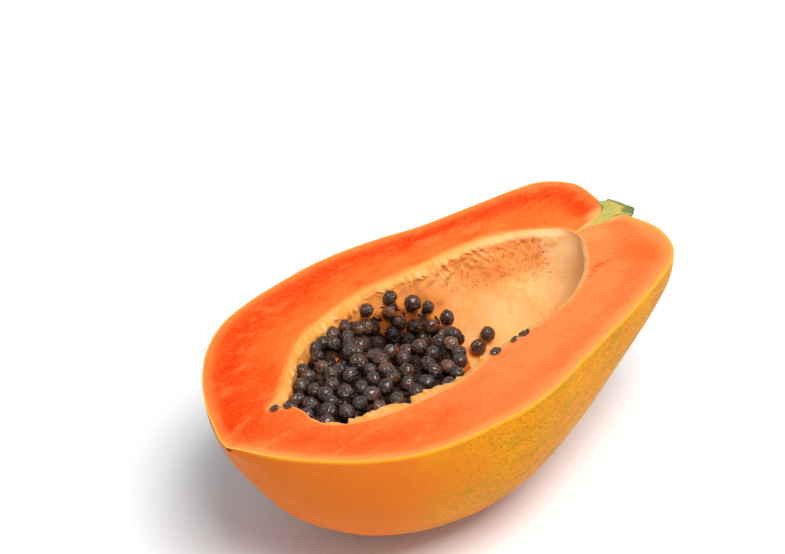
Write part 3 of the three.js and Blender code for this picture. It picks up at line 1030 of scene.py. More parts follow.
@dataclass(frozen=True)
class Lining:
    """The low relief of the cavity's soft lining.

    Attributes:
        comb: Fine tufts along the left edge.
        comb_reach: Middle depth that the tufts reach down to, and how much it varies.
        comb_share: Shares of even folds and of loose tufts in the comb.
        bold: Bolder folds on the left wall towards the stem.
        bold_depth: Depths that have them.
        patch_along: Stretch of the rough orange patch on the left wall.
        patch_depth: Depths of that patch.
        patch_sink: How far the patch lies back.
        shelf_along: Stretch of the lumps on the right side's shelf.
        shelf_depth: Depths of those lumps.
        lump_height: How far the lumps stand in.
        bowl_from: Where the streaks in the stem end's bowl begin and are full.
        bowl_depth: Depths at which they begin and are full.
        streak_spacing: Distance between the streaks.
        streak_height: How far they stand in.
        swell_depth: Depths at which the broad swell of the wall begins and is full.
    """

    comb: Folds = Folds(3.9, 0.5, 2.4, 0.9, 1.4, 1.0, Stretch(34, 52, 142, 160))
    comb_reach: tuple[float, float] = (8.0, 3.5)
    comb_share: tuple[float, float] = (0.18, 0.86)
    bold: Folds = Folds(4.4, 0.55, 1.8, 0.6, 1.2, 0.75, Stretch(140, 150, 171, 181))
    bold_depth: Stretch = Stretch(0.8, 3.0, 8.0, 15.0)
    patch_along: Stretch = Stretch(138, 172, 190, 197)
    patch_depth: Stretch = Stretch(2.0, 5.0, 12.0, 24.0)
    patch_sink: float = 0.35
    shelf_along: Stretch = Stretch(36, 44, 150, 176)
    shelf_depth: Stretch = Stretch(0.15, 0.8, 3.0, 7.0)
    lump_height: float = 0.5
    bowl_from: tuple[float, float] = (172.0, 184.0)
    bowl_depth: tuple[float, float] = (10.0, 18.0)
    streak_spacing: float = 15.0
    streak_height: float = 0.55
    swell_depth: tuple[float, float] = (2.0, 12.0)

    def relief(self, points: Points, left: np.ndarray) -> dict[str, np.ndarray]:
        """Folds of the lining: how far each stands in, and masks for its colour.

        Args:
            points: Points of the plain wall.
            left: 1 on the left wall, 0 on the right.

        Returns:
            Arrays by name: inward in millimetres, and ridge, hollow, patch and streak from 0 to 1.
        """
        x = points[..., 0]
        depth = -points[..., 2]
        wobble = Ripples(seed=21, wavelength=13).at(points)
        flutter = Ripples(seed=22, wavelength=5).at(points)
        comb, comb_area = self._comb(points, wobble, flutter)
        comb_area = left * comb_area
        bold = self.bold.crests(x, depth, wobble, flutter)
        bold_area = left * self.bold.along.over(x) * self.bold_depth.over(depth)
        bold_area = bold_area * np.clip(0.8 + 0.5 * flutter, 0.1, 1.2)
        patch = left * self.patch_along.over(x) * self.patch_depth.over(depth)
        shelf_area = (1 - left) * self.shelf_along.over(x) * self.shelf_depth.over(depth)
        lumps = Ripples(seed=71, wavelength=4.4).at(points) * 0.6
        lumps = lumps + Ripples(seed=72, wavelength=2.2).at(points) * 0.4
        grit = Ripples(seed=24, wavelength=2.6).at(points) * 0.20
        grit = grit + Ripples(seed=25, wavelength=1.2).at(points) * 0.10
        streak = self._streaks(points, wobble) * np.clip(0.6 + flutter, 0, 1)
        swell = Ripples(seed=26, wavelength=22).at(points) * 0.45
        swell = swell + Ripples(seed=27, wavelength=7).at(points) * 0.12
        inward = (
            swell * smoothstep(*self.swell_depth, depth)
            + self.comb.height * comb * comb_area
            + self.bold.height * bold * bold_area
            + patch * (grit - self.patch_sink)
            + self.streak_height * streak
            + self.lump_height * lumps * shelf_area
        )
        ridge = (comb * 1.6 - 0.5) * comb_area + bold * bold_area + lumps * shelf_area
        # hollow marks where the folds dip, for an orange there that is partly painted shade.
        hollow = (
            (1 - comb) * comb_area * 1.1
            + (1 - bold) * bold_area * 0.6
            - (lumps + 0.1) * shelf_area * 1.2
        )
        return {
            "inward": inward,
            "ridge": np.clip(ridge, 0, 1),
            "hollow": np.clip(hollow, 0, 1),
            "patch": patch,
            "streak": np.clip(streak * 1.3, 0, 1),
        }

    def _comb(
        self, points: Points, wobble: np.ndarray, flutter: np.ndarray
    ) -> tuple[np.ndarray, np.ndarray]:
        """The tufts along the edge, and where they are.

        Args:
            points: Points of the plain wall.
            wobble: Broad unevenness from -1 to 1.
            flutter: Fine unevenness from -1 to 1.

        Returns:
            The tufts, and the area that has them, both from about 0 to 1.
        """
        x = points[..., 0]
        depth = -points[..., 2]
        tufts = Ripples(seed=28, wavelength=4.2).at(points * [1, 1, 0.5]) * 0.65
        tufts = tufts + Ripples(seed=29, wavelength=2.0).at(points) * 0.3
        even, loose = self.comb_share
        comb = even * self.comb.crests(x, depth, wobble, flutter) + loose * np.clip(0.5 + tufts, 0, 1)
        middle, varying = self.comb_reach
        reach = middle + varying * Ripples(seed=23, wavelength=11).at(points)
        area = self.comb.along.over(x) * smoothstep(0.1, 1.8, depth)
        area = area * smoothstep(reach, reach * 0.35, depth)
        return comb, area * np.clip(0.85 + 0.45 * flutter, 0.25, 1.2)

    def _streaks(self, points: Points, wobble: np.ndarray) -> np.ndarray:
        """The pale streaks down the stem end's bowl.

        Args:
            points: Points of the plain wall.
            wobble: Broad unevenness from -1 to 1.

        Returns:
            The streaks, from 0 to 1.
        """
        x = points[..., 0]
        area = smoothstep(*self.bowl_from, x) * smoothstep(*self.bowl_depth, -points[..., 2])
        shifted = points[..., 1] * 0.9 + 0.25 * x + 3 * wobble
        return area * (0.5 + 0.5 * np.cos(2 * math.pi * shifted / self.streak_spacing)) ** 5


@dataclass
class Fruit:
    """The half fruit: skin, cut face and the lined seed cavity, as one closed surface.

    Attributes:
        heap: The heap that lies in the cavity.
        lining: Relief of the cavity's lining.
        rows: Vertex rings along the fruit.
        skin_steps: Steps round the skin.
        face_steps: Steps across each side of the cut face.
        cavity_steps: Steps round the cavity.
        rest_depth: Depth at which the skin lies flat on the table.
        rib_height: Height of the skin's five faint ribs.
        ledge_width: How far the lining stands in from the flesh along its edge.
        ledge_drop: Depth of the ledge under the cut face.
        ledge_fade: Depth at which the wall is plain again.
        ledge_full: Depths down to which the ledge and the shelf are at their full.
        shelf: Places along the fruit, and the width there of the shelf on the right side.
        shelf_drop: Depth of the shelf's lip.
        tip: Place of the blossom end's scar.
    """

    heap: SeedHeap
    lining: Lining = Lining()
    rows: int = 400
    skin_steps: int = 66
    face_steps: int = 22
    cavity_steps: int = 126
    rest_depth: float = 80.3
    rib_height: float = 0.7
    ledge_width: float = 2.9
    ledge_drop: float = 3.0
    ledge_fade: float = 32.0
    ledge_full: tuple[float, float] = (5.0, 3.0)
    shelf: tuple[tuple[float, ...], ...] = (
        (30, 38, 41, 43, 48, 55, 62, 66, 70, 76, 82, 87, 92, 98, 105, 125, 165, 198),
        (0.5, 0.8, 3.5, 6.0, 7.2, 7.8, 8.2, 5.0, 8.2, 8.6, 7.6, 3.4, 2.8, 4.2, 3.2, 3.4, 2.4, 2.0),
    )
    shelf_drop: float = 1.7
    tip: Place = (0.6, 0.0, -1.2)

    def places(self) -> np.ndarray:
        """Places along the fruit that space the rings evenly over skin and cavity.

        Returns:
            Places from 0 to 1 in the sections' own measure, one for each ring.
        """
        fine = np.linspace(0, 1, 4001)
        total = np.zeros_like(fine)
        for sections, weight in ((SKIN_SECTIONS, 0.4), (CAVITY_SECTIONS, 0.6)):
            row = sections.at(fine)
            middle = np.stack([(row[:, 0] + row[:, 2]) / 2, (row[:, 1] + row[:, 3]) / 2], -1)
            half = np.stack([(row[:, 0] - row[:, 2]) / 2, (row[:, 1] - row[:, 3]) / 2], -1)
            path = np.concatenate([middle, half * 0.6, row[:, 4:] * 0.6], -1)
            steps = np.linalg.norm(np.diff(path, axis=0), axis=1)
            total += weight * np.concatenate([[0], np.cumsum(steps)]) / steps.sum()
        return np.interp(np.linspace(0, 1, self.rows), total, fine)

    def skin(self, along: np.ndarray, angle: np.ndarray) -> Points:
        """Points of the skin.

        Args:
            along: Places along the fruit.
            angle: Angles round it, from the left rim to the right.

        Returns:
            The points.
        """
        points = SKIN_SECTIONS.hanging(along, angle)
        depth = SKIN_SECTIONS.at(along)[..., 4]
        ribs = 0.5 + 0.5 * np.cos(10 * angle)
        growth = self.rib_height * ribs * np.sin(angle) ** 2 * smoothstep(0, 30, depth)
        points[..., 2] += growth
        dents = Ripples(11, 34).at(points) * 0.35 + Ripples(12, 11).at(points) * 0.07
        away = np.sin(angle) * smoothstep(0, 20, depth) * smoothstep(0, 14, -points[..., 2])
        points[..., 2] += np.abs(dents) * away
        points[..., 2] = np.maximum(points[..., 2], -self.rest_depth)
        return points

    def cavity(self, along: np.ndarray, share: np.ndarray) -> tuple[Points, dict[str, np.ndarray]]:
        """Points of the lining and the masks for its colour.

        Args:
            along: Places along the fruit.
            share: Places from 0 at the left edge to 1 at the right edge.

        Returns:
            The points, and the masks by name.
        """
        angle = math.pi * (share - 0.13 * np.sin(2 * math.pi * share))
        row = CAVITY_SECTIONS.at(along)
        points = CAVITY_SECTIONS.hanging(along, angle)
        half = np.stack([row[..., 0] - row[..., 2], row[..., 1] - row[..., 3]], -1) / 2
        width = np.maximum(np.linalg.norm(half, axis=-1), 1e-6)
        left = (share < 0.5).astype(float)
        side = np.where(share < 0.5, -1.0, 1.0)
        relief = self.lining.relief(points, left)
        depth = -points[..., 2]
        x = points[..., 0]
        ends = smoothstep(0, 0.16, along) * smoothstep(1, 0.86, along)
        lip = 0.5 + 0.5 * Ripples(31, 18).at(points * [1, 1, 0.4])
        lip = np.clip(lip + 0.22 * Ripples(32, 8).at(points), -0.2, 1.5)
        left_ledge = self.ledge_width * (0.7 + 0.5 * lip)
        ledge = np.where(left > 0, left_ledge, self.shelf_width(points))
        drop = np.where(left > 0, self.ledge_drop, self.shelf_drop)
        shape = smoothstep(-0.4, drop, depth) - smoothstep(-0.4, drop, 0)
        shape = shape * smoothstep(self.ledge_fade, np.where(left > 0, *self.ledge_full), depth)
        inward = np.minimum(ledge * ends * shape, width * 0.5)
        inward = inward * smoothstep(0, 0.3, np.abs(share - 0.5))
        normal_across = -np.cos(angle) / width
        normal_up = np.sin(angle) / np.maximum(row[..., 4], 1e-6)
        size = np.maximum(np.hypot(normal_across, normal_up), 1e-6)
        fold = relief["inward"] * smoothstep(0, 0.08, along) * smoothstep(1, 0.94, along)
        fold = fold * smoothstep(0, 8, width)
        shift_across = side * inward + fold * normal_across / size
        points = points + np.concatenate(
            [half / width[..., None] * shift_across[..., None], (fold * normal_up / size)[..., None]],
            -1,
        )
        points[..., 2] = np.minimum(points[..., 2], 0)
        return points, relief

    def shelf_width(self, points: Points) -> np.ndarray:
        """Width of the lining's shelf on the right side at points.

        Args:
            points: Points of the lining.

        Returns:
            Widths in millimetres.
        """
        level = points * [1, 1, 0]
        uneven = 0.8 * Ripples(33, 8).at(level) + 0.5 * Ripples(34, 4).at(level)
        beside_seeds = 0.35 + 0.65 * smoothstep(120, 100, points[..., 0])
        by_tip = 4.6 * smoothstep(-10, -16, points[..., 1]) * smoothstep(52, 46, points[..., 0])
        width = np.maximum(np.interp(points[..., 0], *self.shelf), by_tip)
        return np.maximum(width + uneven * beside_seeds, 0.3)

    def surface(self) -> MeshData:
        """The closed surface: skin, right face, cavity and left face round every ring.

        Returns:
            The surface, with its slots and the numbers for its finishes.
        """
        along = self.places()[:, None]
        skin_angle = np.linspace(0, math.pi, self.skin_steps + 1)[None, :]
        skin = self.skin(along, skin_angle)
        share = np.linspace(1, 0, self.cavity_steps + 1)[None, :]
        cavity, masks = self.cavity(along, share)
        face_share = np.linspace(0, 1, self.face_steps + 1)[1:-1]
        spread = face_share - 0.6 / (2 * math.pi) * np.sin(2 * math.pi * face_share)
        right = self._face(skin[:, -1], cavity[:, 0], spread)
        left = self._face(skin[:, 0], cavity[:, -1], spread)[:, ::-1]
        points = np.concatenate([skin, right, cavity, left], 1)
        rows, columns = points.shape[:2]
        values = self._values(points, right.shape[1], masks)
        faces = grid_faces(rows, columns, True)
        column = np.tile(np.repeat(np.arange(columns), 2), rows - 1)
        slots = np.ones(len(faces), int)
        slots[column < self.skin_steps] = 0
        first = self.skin_steps + 1 + right.shape[1]
        slots[(column >= first) & (column < first + self.cavity_steps)] = 2
        flat = flattened(values)
        return welded(MeshData(points.reshape(-1, 3), faces, slots, flat))

    def _face(self, rim: Points, edge: Points, spread: np.ndarray) -> Points:
        """Points between the rim and the cavity's edge, the face slightly sunk and uneven.

        Args:
            rim: Points along the skin's rim.
            edge: Points along the cavity's edge.
            spread: Shares of the way from the rim to the edge.

        Returns:
            The points.
        """
        across = spread[None, :, None]
        points = rim[:, None] * (1 - across) + edge[:, None] * across
        room = np.linalg.norm(edge - rim, axis=-1)[:, None]
        inside = np.minimum(spread[None, :], 1 - spread[None, :]) * room
        sag = 0.16 + 0.08 * Ripples(41, 12).at(points) + 0.05 * Ripples(42, 4).at(points)
        points[..., 2] = -np.clip(sag, 0.02, 0.5) * smoothstep(0, 3.0, inside)
        return points

    def _values(
        self, points: Points, face_columns: int, masks: dict[str, np.ndarray]
    ) -> dict[str, np.ndarray]:
        """Numbers per vertex for the three finishes.

        Args:
            points: The rings of points.
            face_columns: Columns of each side of the face between its rim and edge.
            masks: Masks of the lining.

        Returns:
            Arrays of the rings' shape by name.
        """
        rows, columns = points.shape[:2]
        right_rim = self.skin_steps
        right_edge = right_rim + face_columns + 1
        left_edge = right_edge + self.cavity_steps
        rim = np.zeros((rows, columns))
        edge = np.zeros((rows, columns))
        right = slice(right_rim, right_edge + 1)
        left = list(range(left_edge, columns)) + [0]
        left_rim_points = points[:, 0]
        for part, start, stop in (
            (right, points[:, right_rim], points[:, right_edge]),
            (left, left_rim_points, points[:, left_edge]),
        ):
            rim[:, part] = self._true_distance(points[:, part], start)
            edge[:, part] = self._true_distance(points[:, part], stop)
        side = np.zeros((rows, columns))
        side[:, left] = 1
        middle_y = np.interp(points[:, 0, 0], [0, 27, 202, 234], [0, 5, 0.5, 1])[:, None]
        blend = 2.0 + 7.0 * smoothstep(44, 26, points[..., 0])
        turned = smoothstep(-1, 1, (points[..., 1] - middle_y) / blend)
        side = np.where((side > 0) & (points[..., 0] > 27), 1.0, turned)
        x, y = points[..., 0], points[..., 1]
        values = {
            "along_mm": x,
            "depth_mm": -points[..., 2],
            "tip_mm": np.linalg.norm(points - self.tip, axis=-1),
            "left": side,
            "rim_mm": rim,
            "edge_mm": edge,
            "across": rim / np.maximum(rim + edge, 1e-6),
            "heap_mm": self._over_heap(points),
        }
        stem_line = distance_to_line(points, (202, 0.6, 0), (226, 0.5, 0))
        stem_width = 1.0 + 2.6 * smoothstep(206, 216, x)
        cream = smoothstep(1.0, 0.2, stem_line / stem_width) * smoothstep(201, 203, x)
        around_stem = smoothstep(9, 3, np.hypot((x - 222) * 0.75, y - 0.5))
        yellow = 0.5 * smoothstep(8, 2, np.hypot((x - 206) * 0.7, y + 6))
        values["cream"] = np.clip(np.maximum(cream, around_stem) * 0.8 + yellow * 0.5, 0, 0.95)
        blush = smoothstep(17, 3, np.hypot((x - 207) * 1.2, y + 31))
        blush = np.maximum(blush, 0.7 * smoothstep(12, 3, np.hypot((x - 203) * 0.7, y - 24)))
        values["blush"] = blush * 0.75
        crease_line = distance_to_line(points, (184, -24.8, 0), (196, -25.8, 0))
        second_line = distance_to_line(points, (180, -27.5, 0), (189, -24.0, 0))
        crease = np.maximum(smoothstep(1.1, 0.3, crease_line), smoothstep(1.3, 0.4, second_line) * 0.7)
        values["crease"] = crease * (0.6 + 0.4 * Ripples(43, 3).at(points))
        for name in ("ridge", "hollow", "patch", "streak"):
            mask = np.zeros((rows, columns))
            mask[:, right_edge:left_edge + 1] = masks[name]
            values[name] = mask
        return values

    @staticmethod
    def _true_distance(points: Points, line: Points) -> np.ndarray:
        """Distance in plan from each point to the nearest of a line's points.

        Args:
            points: Points of the rings.
            line: One point of the line for each ring.

        Returns:
            Distances in millimetres.
        """
        flat = points[..., :2]
        nearest = np.full(flat.shape[:2], np.inf)
        for offset in range(-30, 31, 2):
            moved = np.roll(line, offset, axis=0)[:, None, :2]
            if offset > 0:
                moved = moved.copy()
                moved[:offset] = np.inf
            if offset < 0:
                moved = moved.copy()
                moved[offset:] = np.inf
            gap = np.linalg.norm(flat - np.where(np.isinf(moved), 1e6, moved), axis=-1)
            nearest = np.minimum(nearest, gap)
        return nearest

    def _over_heap(self, points: Points) -> np.ndarray:
        """How far the wall's points stand clear of the heap of seeds.

        Args:
            points: Points of the rings.

        Returns:
            Distances in millimetres, negative in the heap.
        """
        highest = self.heap.highest(points[..., 0], points[..., 1])
        over = np.maximum(self.heap.beyond(points), points[..., 2] + 3.0 - highest)
        stained = -self.heap.clear(points) - 1.5
        return np.where(points[..., 2] < -2.5, np.minimum(over, stained), over)

    def build(self, workshop: Workshop) -> bpy.types.Object:
        """Makes the piece.

        Args:
            workshop: Maker of the object.

        Returns:
            The piece.
        """
        materials = [SkinFinish().material(), FleshFinish().material(), LiningFinish().material()]
        piece = workshop.make("papaya_half", self.surface(), materials, sharp_degrees=60)
        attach(piece, "root")
        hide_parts("fruit")
        LOG.info("papaya_half: %d triangles", len(piece.data.polygons))
        return piece


# ---------------------------------------------------------------- the stem


@dataclass(frozen=True)
class StemFinish:
    """Cut stem: pale moist green-yellow across the cut, greener and darker on its rind, with painted
    shade at the collar and the end.
    """

    cut: Colour = (0.50, 0.46, 0.12)
    cut_yellow: Colour = (0.70, 0.50, 0.07)
    cut_green: Colour = (0.22, 0.29, 0.045)
    rind: Colour = (0.14, 0.20, 0.035)
    dark: Colour = (0.06, 0.08, 0.02)

    def material(self) -> bpy.types.Material:
        """Builds the material.

        Returns:
            The material.
        """
        shader = Shader("papaya_stem")
        fibres = shader.noise(shader.place((0.2, 1, 1)), 0.9, 3, 0.6)
        clouds = shader.noise(shader.place(), 3.2, 3)
        speck = shader.noise(shader.place(), 0.5, 1)
        depth = shader.value("depth_mm")
        rim = shader.value("rim_mm")
        along = shader.value("along_mm")
        cut = shader.mix(clouds.step(0.4, 0.65), self.cut, self.cut_yellow)
        cut = shader.mix(fibres.step(0.52, 0.75) * 0.5, cut, self.cut_green)
        outside = along.step(221, 225)
        cut = shader.mix(rim.step(1.5, 0.2) * 0.8 * outside, cut, self.rind)
        tip = (along + (clouds - 0.5) * 2).step(231.6, 232.8) * 0.6
        cut = shader.mix(tip, cut, self.dark)
        # Painted shade: darker green beside the collar and at the end of the cut.
        cut = shader.mix(shader.value("shade") * (0.5 + speck), cut, self.rind)
        rind = shader.mix(clouds.step(0.45, 0.7), self.rind, self.dark)
        base = shader.mix(depth.step(0.05, 0.5), cut, rind)
        base = shader.mix(speck.step(0.6, 0.75) * 0.35, base, self.cut)
        return shader.finish(
            Base_Color=base,
            Roughness=0.55 + (fibres - 0.5) * 0.2,
            Normal=shader.bump(fibres + speck * 0.5, 0.25, 0.8),
            Subsurface_Weight=0.1,
            Subsurface_Radius=(0.6, 0.6, 0.2),
            Subsurface_Scale=0.001,
        )


@dataclass
class Stem:
    """The stem, cut lengthwise with the fruit.

    Attributes:
        rows: Rings along the stem.
        steps: Steps round its rind.
        across: Steps across its cut face.
        furrow: Depth of the rind's furrows.
    """

    rows: int = 120
    steps: int = 56
    across: int = 24
    furrow: float = 0.28

    def surface(self) -> MeshData:
        """The closed surface: rind and cut face round every ring.

        Returns:
            The surface, with the numbers for its finish.
        """
        along = np.linspace(0, 1, self.rows)[:, None]
        angle = np.linspace(0, math.pi, self.steps + 1)[None, :]
        rind = STEM_SECTIONS.hanging(along, angle)
        row = STEM_SECTIONS.at(along)
        middle_y = (row[..., 1] + row[..., 3]) / 2
        size = (row[..., 1] - row[..., 3]) / 2
        furrows = np.cos(17 * angle + 2 * np.sin(9 * along)) * 0.6 + Ripples(51, 4).at(rind) * 0.6
        pinch = self.furrow * furrows * smoothstep(1, 5, size) * smoothstep(1, 0.97, along)
        rind[..., 1] -= (rind[..., 1] - middle_y) / np.maximum(size, 1e-6) * pinch * 0.5
        rind[..., 2] += pinch * np.sin(angle) * 0.7
        share = np.linspace(0, 1, self.across + 1)[1:-1][None, :, None]
        face = rind[:, -1:, :] * (1 - share) + rind[:, :1, :] * share
        inside = np.minimum(share, 1 - share)[..., 0] * 2 * size
        bulge = Ripples(52, 3.5).at(face) * 0.12 + 0.10
        face[..., 2] = np.clip(bulge, 0, 0.4) * smoothstep(0, 1.2, inside)
        points = np.concatenate([rind, face], 1)
        values = {
            "along_mm": points[..., 0],
            "depth_mm": -points[..., 2],
            "rim_mm": np.concatenate([np.zeros(rind.shape[:2]), inside * np.ones(face.shape[:2])], 1),
            "shade": self.shade(points),
        }
        faces = grid_faces(points.shape[0], points.shape[1], True)
        flat = flattened(values)
        slots = np.zeros(len(faces), int)
        return welded(MeshData(points.reshape(-1, 3), faces, slots, flat))

    @staticmethod
    def shade(points: Points) -> np.ndarray:
        """How dark a green the cut is: painted shade beside the collar on the left and at its end on the
        right.

        Args:
            points: Points of the stem.

        Returns:
            Shades from 0 to 1.
        """
        x, y = points[..., 0], points[..., 1]
        collar = smoothstep(3.6, 1.2, np.hypot(x - 225.0, (y - 7.0) * 0.9))
        end = smoothstep(4.2, 2.0, np.hypot((x - 231.5) * 0.9, y + 5.5))
        return np.clip(np.maximum(collar, end), 0, 1) * 0.9

    def build(self, workshop: Workshop) -> bpy.types.Object:
        """Makes the piece.

        Args:
            workshop: Maker of the object.

        Returns:
            The piece.
        """
        piece = workshop.make("stem_cut", self.surface(), [StemFinish().material()], 50)
        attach(piece, "root")
        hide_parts("stem")
        LOG.info("stem_cut: %d triangles", len(piece.data.polygons))
        return piece


# ---------------------------------------------------------------- the seeds


@dataclass(frozen=True)
class SeedFinish:
    """Glossy near-black seed in a wrinkled wet coat, brown where the coat is thick and tan on its crests,
    partly the coat's pale membrane and partly painted highlight, with painted shade that turns it
    near-black on its lower side and deep in the heap.

    Attributes:
        gloss: Strength of the coat and of the sheen under it, from 0 to 1; the low-gloss copy is a shaded
            copy for the layer below.
    """

    gloss: float = 1.0
    dark: Colour = (0.020, 0.007, 0.003)
    brown: Colour = (0.150, 0.042, 0.010)
    pale: Colour = (0.26, 0.105, 0.040)
    tan: Colour = (0.36, 0.185, 0.105)
    shade: Colour = (0.004, 0.0015, 0.001)

    def material(self) -> bpy.types.Material:
        """Builds the material.

        Returns:
            The material.
        """
        shader = Shader("papaya_seed" if self.gloss > 0.5 else "papaya_seed_shaded_copy")
        place = shader.place()
        tone = shader.value("tone")
        crest = shader.value("crest")
        # low and sunk carry painted shade: each seed's lower side, seeds deep in the heap or by its gaps,
        # and the layer below.
        low = shader.value("low")
        sunk = shader.value("sunk").at_least(low * 0.9)
        wrinkles = shader.noise(place, 1.4, 2, 0.5)
        folds = 1 - ((wrinkles - 0.5).size() * 9.0).at_most(1.0)
        fine = shader.noise(place, 0.55, 2)
        clouds = shader.noise(place, 3.0, 1)
        browned = (clouds + (tone - 0.5) * 0.3 + (fine - 0.5) * 0.4).step(0.46, 0.80)
        base = shader.mix(browned, self.dark, self.brown)
        base = shader.mix(tone.step(0.95, 0.98) * 0.5, base, self.pale)
        # Tan on the crests and wrinkle lines: partly the coat's pale membrane, partly painted highlight.
        ridge = (crest.step(0.60, 0.98) * 0.8).at_least(folds * fine.step(0.40, 0.62) * 0.7)
        base = shader.mix(ridge * 0.6, base, self.tan)
        # Painted shade: shaded seeds turn near-black and lose most of their coat.
        base = shader.mix(sunk * 0.9, base, self.shade)
        return shader.finish(
            Base_Color=base,
            Roughness=0.30 + (fine - 0.5) * 0.16,
            Coat_Weight=(0.9 - sunk * 0.85) * self.gloss,
            Normal=shader.bump(wrinkles * 0.7 + folds * 0.5 + fine * 0.12, 0.8, 0.85),
            Coat_Roughness=0.17,
            Specular_IOR_Level=0.55 * self.gloss,
            Sheen_Weight=0.05 * self.gloss,
            Sheen_Roughness=0.35,
            Sheen_Tint=(0.75, 0.30, 0.12),
        )


@dataclass(frozen=True)
class PulpFinish:
    """Wet pulp between the seeds, orange-brown at the heap's border and nearly black inside, the black
    partly its own colour and partly painted shade.
    """

    deep: Colour = (0.018, 0.005, 0.002)
    brown: Colour = (0.15, 0.034, 0.005)
    orange: Colour = (0.66, 0.145, 0.016)
    cream: Colour = (0.95, 0.45, 0.12)

    def material(self) -> bpy.types.Material:
        """Builds the material.

        Returns:
            The material.
        """
        shader = Shader("papaya_pulp")
        place = shader.place()
        clouds = shader.noise(place, 5, 3, 0.6)
        fine = shader.noise(place, 1.2, 2)
        bare = (shader.value("bare") + (clouds - 0.5) * 0.7).step(0.1, 1.0)
        # Nearly black where seeds cover it: partly the pulp's own colour, partly painted shade between
        # the seeds.
        base = shader.mix(bare.step(0.0, 0.45), self.deep, self.brown)
        base = shader.layered(base, [
            (bare.step(0.35, 0.75), self.orange),
            (bare.step(0.75, 1.0) * fine.step(0.4, 0.6), self.cream),
        ])
        return shader.finish(
            Base_Color=base,
            Roughness=0.25 + (fine - 0.5) * 0.2,
            Normal=shader.bump(clouds + fine * 0.5, 0.5, 0.8),
            Subsurface_Weight=0.15,
            Subsurface_Radius=(1.0, 0.3, 0.1),
            Subsurface_Scale=0.0015,
        )


def cube_ball(steps: int) -> tuple[Points, np.ndarray]:
    """A ball of radius 1 made of a cube's six sides, each divided evenly.

    Args:
        steps: Divisions of each side.

    Returns:
        Vertices and triangles.
    """
    turn = np.tan(np.linspace(-math.pi / 4, math.pi / 4, steps + 1))
    u, v = np.meshgrid(turn, turn, indexing="ij")
    side = np.stack([u, v, np.ones_like(u)], -1).reshape(-1, 3)
    base = grid_faces(steps + 1, steps + 1, False)
    points = []
    faces = []
    for axes, sign in (
        ((0, 1, 2), 1), ((1, 0, 2), -1),
        ((1, 2, 0), 1), ((2, 1, 0), -1),
        ((2, 0, 1), 1), ((0, 2, 1), -1),
    ):
        turned = np.empty_like(side)
        turned[:, axes[0]] = side[:, 0]
        turned[:, axes[1]] = side[:, 1]
        turned[:, axes[2]] = side[:, 2] * sign
        faces.append(base[:, ::-1] + len(points) * len(side))
        points.append(turned)
    joined = np.concatenate(points)
    joined /= np.linalg.norm(joined, axis=1, keepdims=True)
    data = welded(MeshData(joined, np.concatenate(faces), np.zeros(len(faces) * len(base), int), {}))
    return data.points, data.faces


class SeedMaker:
    """Makes wrinkled seeds from a few templates, each with four random seeds of its own."""

    size_seed = 700
    broad_seed = 710
    folds_seed = 730
    small_seed = 750

    def __init__(self, length: float, width: float, steps: int, templates: int = 9) -> None:
        """Shapes the templates.

        Args:
            length: Length of a middling seed.
            width: Its width.
            steps: Divisions of the ball's sides.
            templates: How many different seeds there are.
        """
        ball, self.faces = cube_ball(steps)
        self.half_width = width / 2
        self.shapes = []
        for number in range(templates):
            draw = np.random.default_rng(self.size_seed + number)
            broad = Ripples(self.broad_seed + number, 1.9).at(ball)
            folds = Ripples(self.folds_seed + number, 0.62, 7).at(ball * [0.6, 1, 1])
            creases = 1 - np.abs(folds) ** 0.8
            small = Ripples(self.small_seed + number, 0.3).at(ball)
            radius = 1 + 0.035 * broad + 0.095 * (creases - 0.5) + 0.015 * small
            nub = smoothstep(0.93, 1.0, ball[:, 0])
            radius = radius + 0.10 * nub
            wide = width * draw.uniform(0.94, 1.04)
            high = width * draw.uniform(0.90, 1.0)
            half = np.array([length, wide, high]) / 2
            # crest marks where the folds stand out; the seed finish paints tan there, partly as painted
            # highlight.
            crest = np.clip((creases - 0.2) * 1.1, 0, 1)
            self.shapes.append((ball * radius[:, None] * half, crest))

    def heap(self, places: list[tuple[np.ndarray, float]], seed: int) -> MeshData:
        """Seeds at places, each turned at random.

        Args:
            places: Centre and scale of each seed.
            seed: Seed of the random draw.

        Returns:
            All seeds as one surface.
        """
        draw = np.random.default_rng(seed)
        points = []
        faces = []
        tones = []
        crests = []
        painted_low_shades = []
        count = 0
        for centre, scale in places:
            shape, crest = self.shapes[draw.integers(len(self.shapes))]
            turn = np.array(Euler(draw.uniform(0, 2 * math.pi, 3)).to_matrix())
            points.append(shape @ turn.T * scale + centre)
            faces.append(self.faces + count)
            tones.append(np.full(len(shape), draw.uniform()))
            crests.append(crest)
            # Painted shade on each seed's lower side, darkest towards its bottom.
            above_middle = (points[-1][:, 2] - centre[2]) / (self.half_width * scale)
            painted_low_shades.append(smoothstep(0.3, -0.7, above_middle))
            count += len(shape)
        joined = np.concatenate(faces)
        values = {
            "tone": np.concatenate(tones),
            "crest": np.concatenate(crests),
            "low": np.concatenate(painted_low_shades),
        }
        return MeshData(np.concatenate(points), joined, np.zeros(len(joined), int), values)


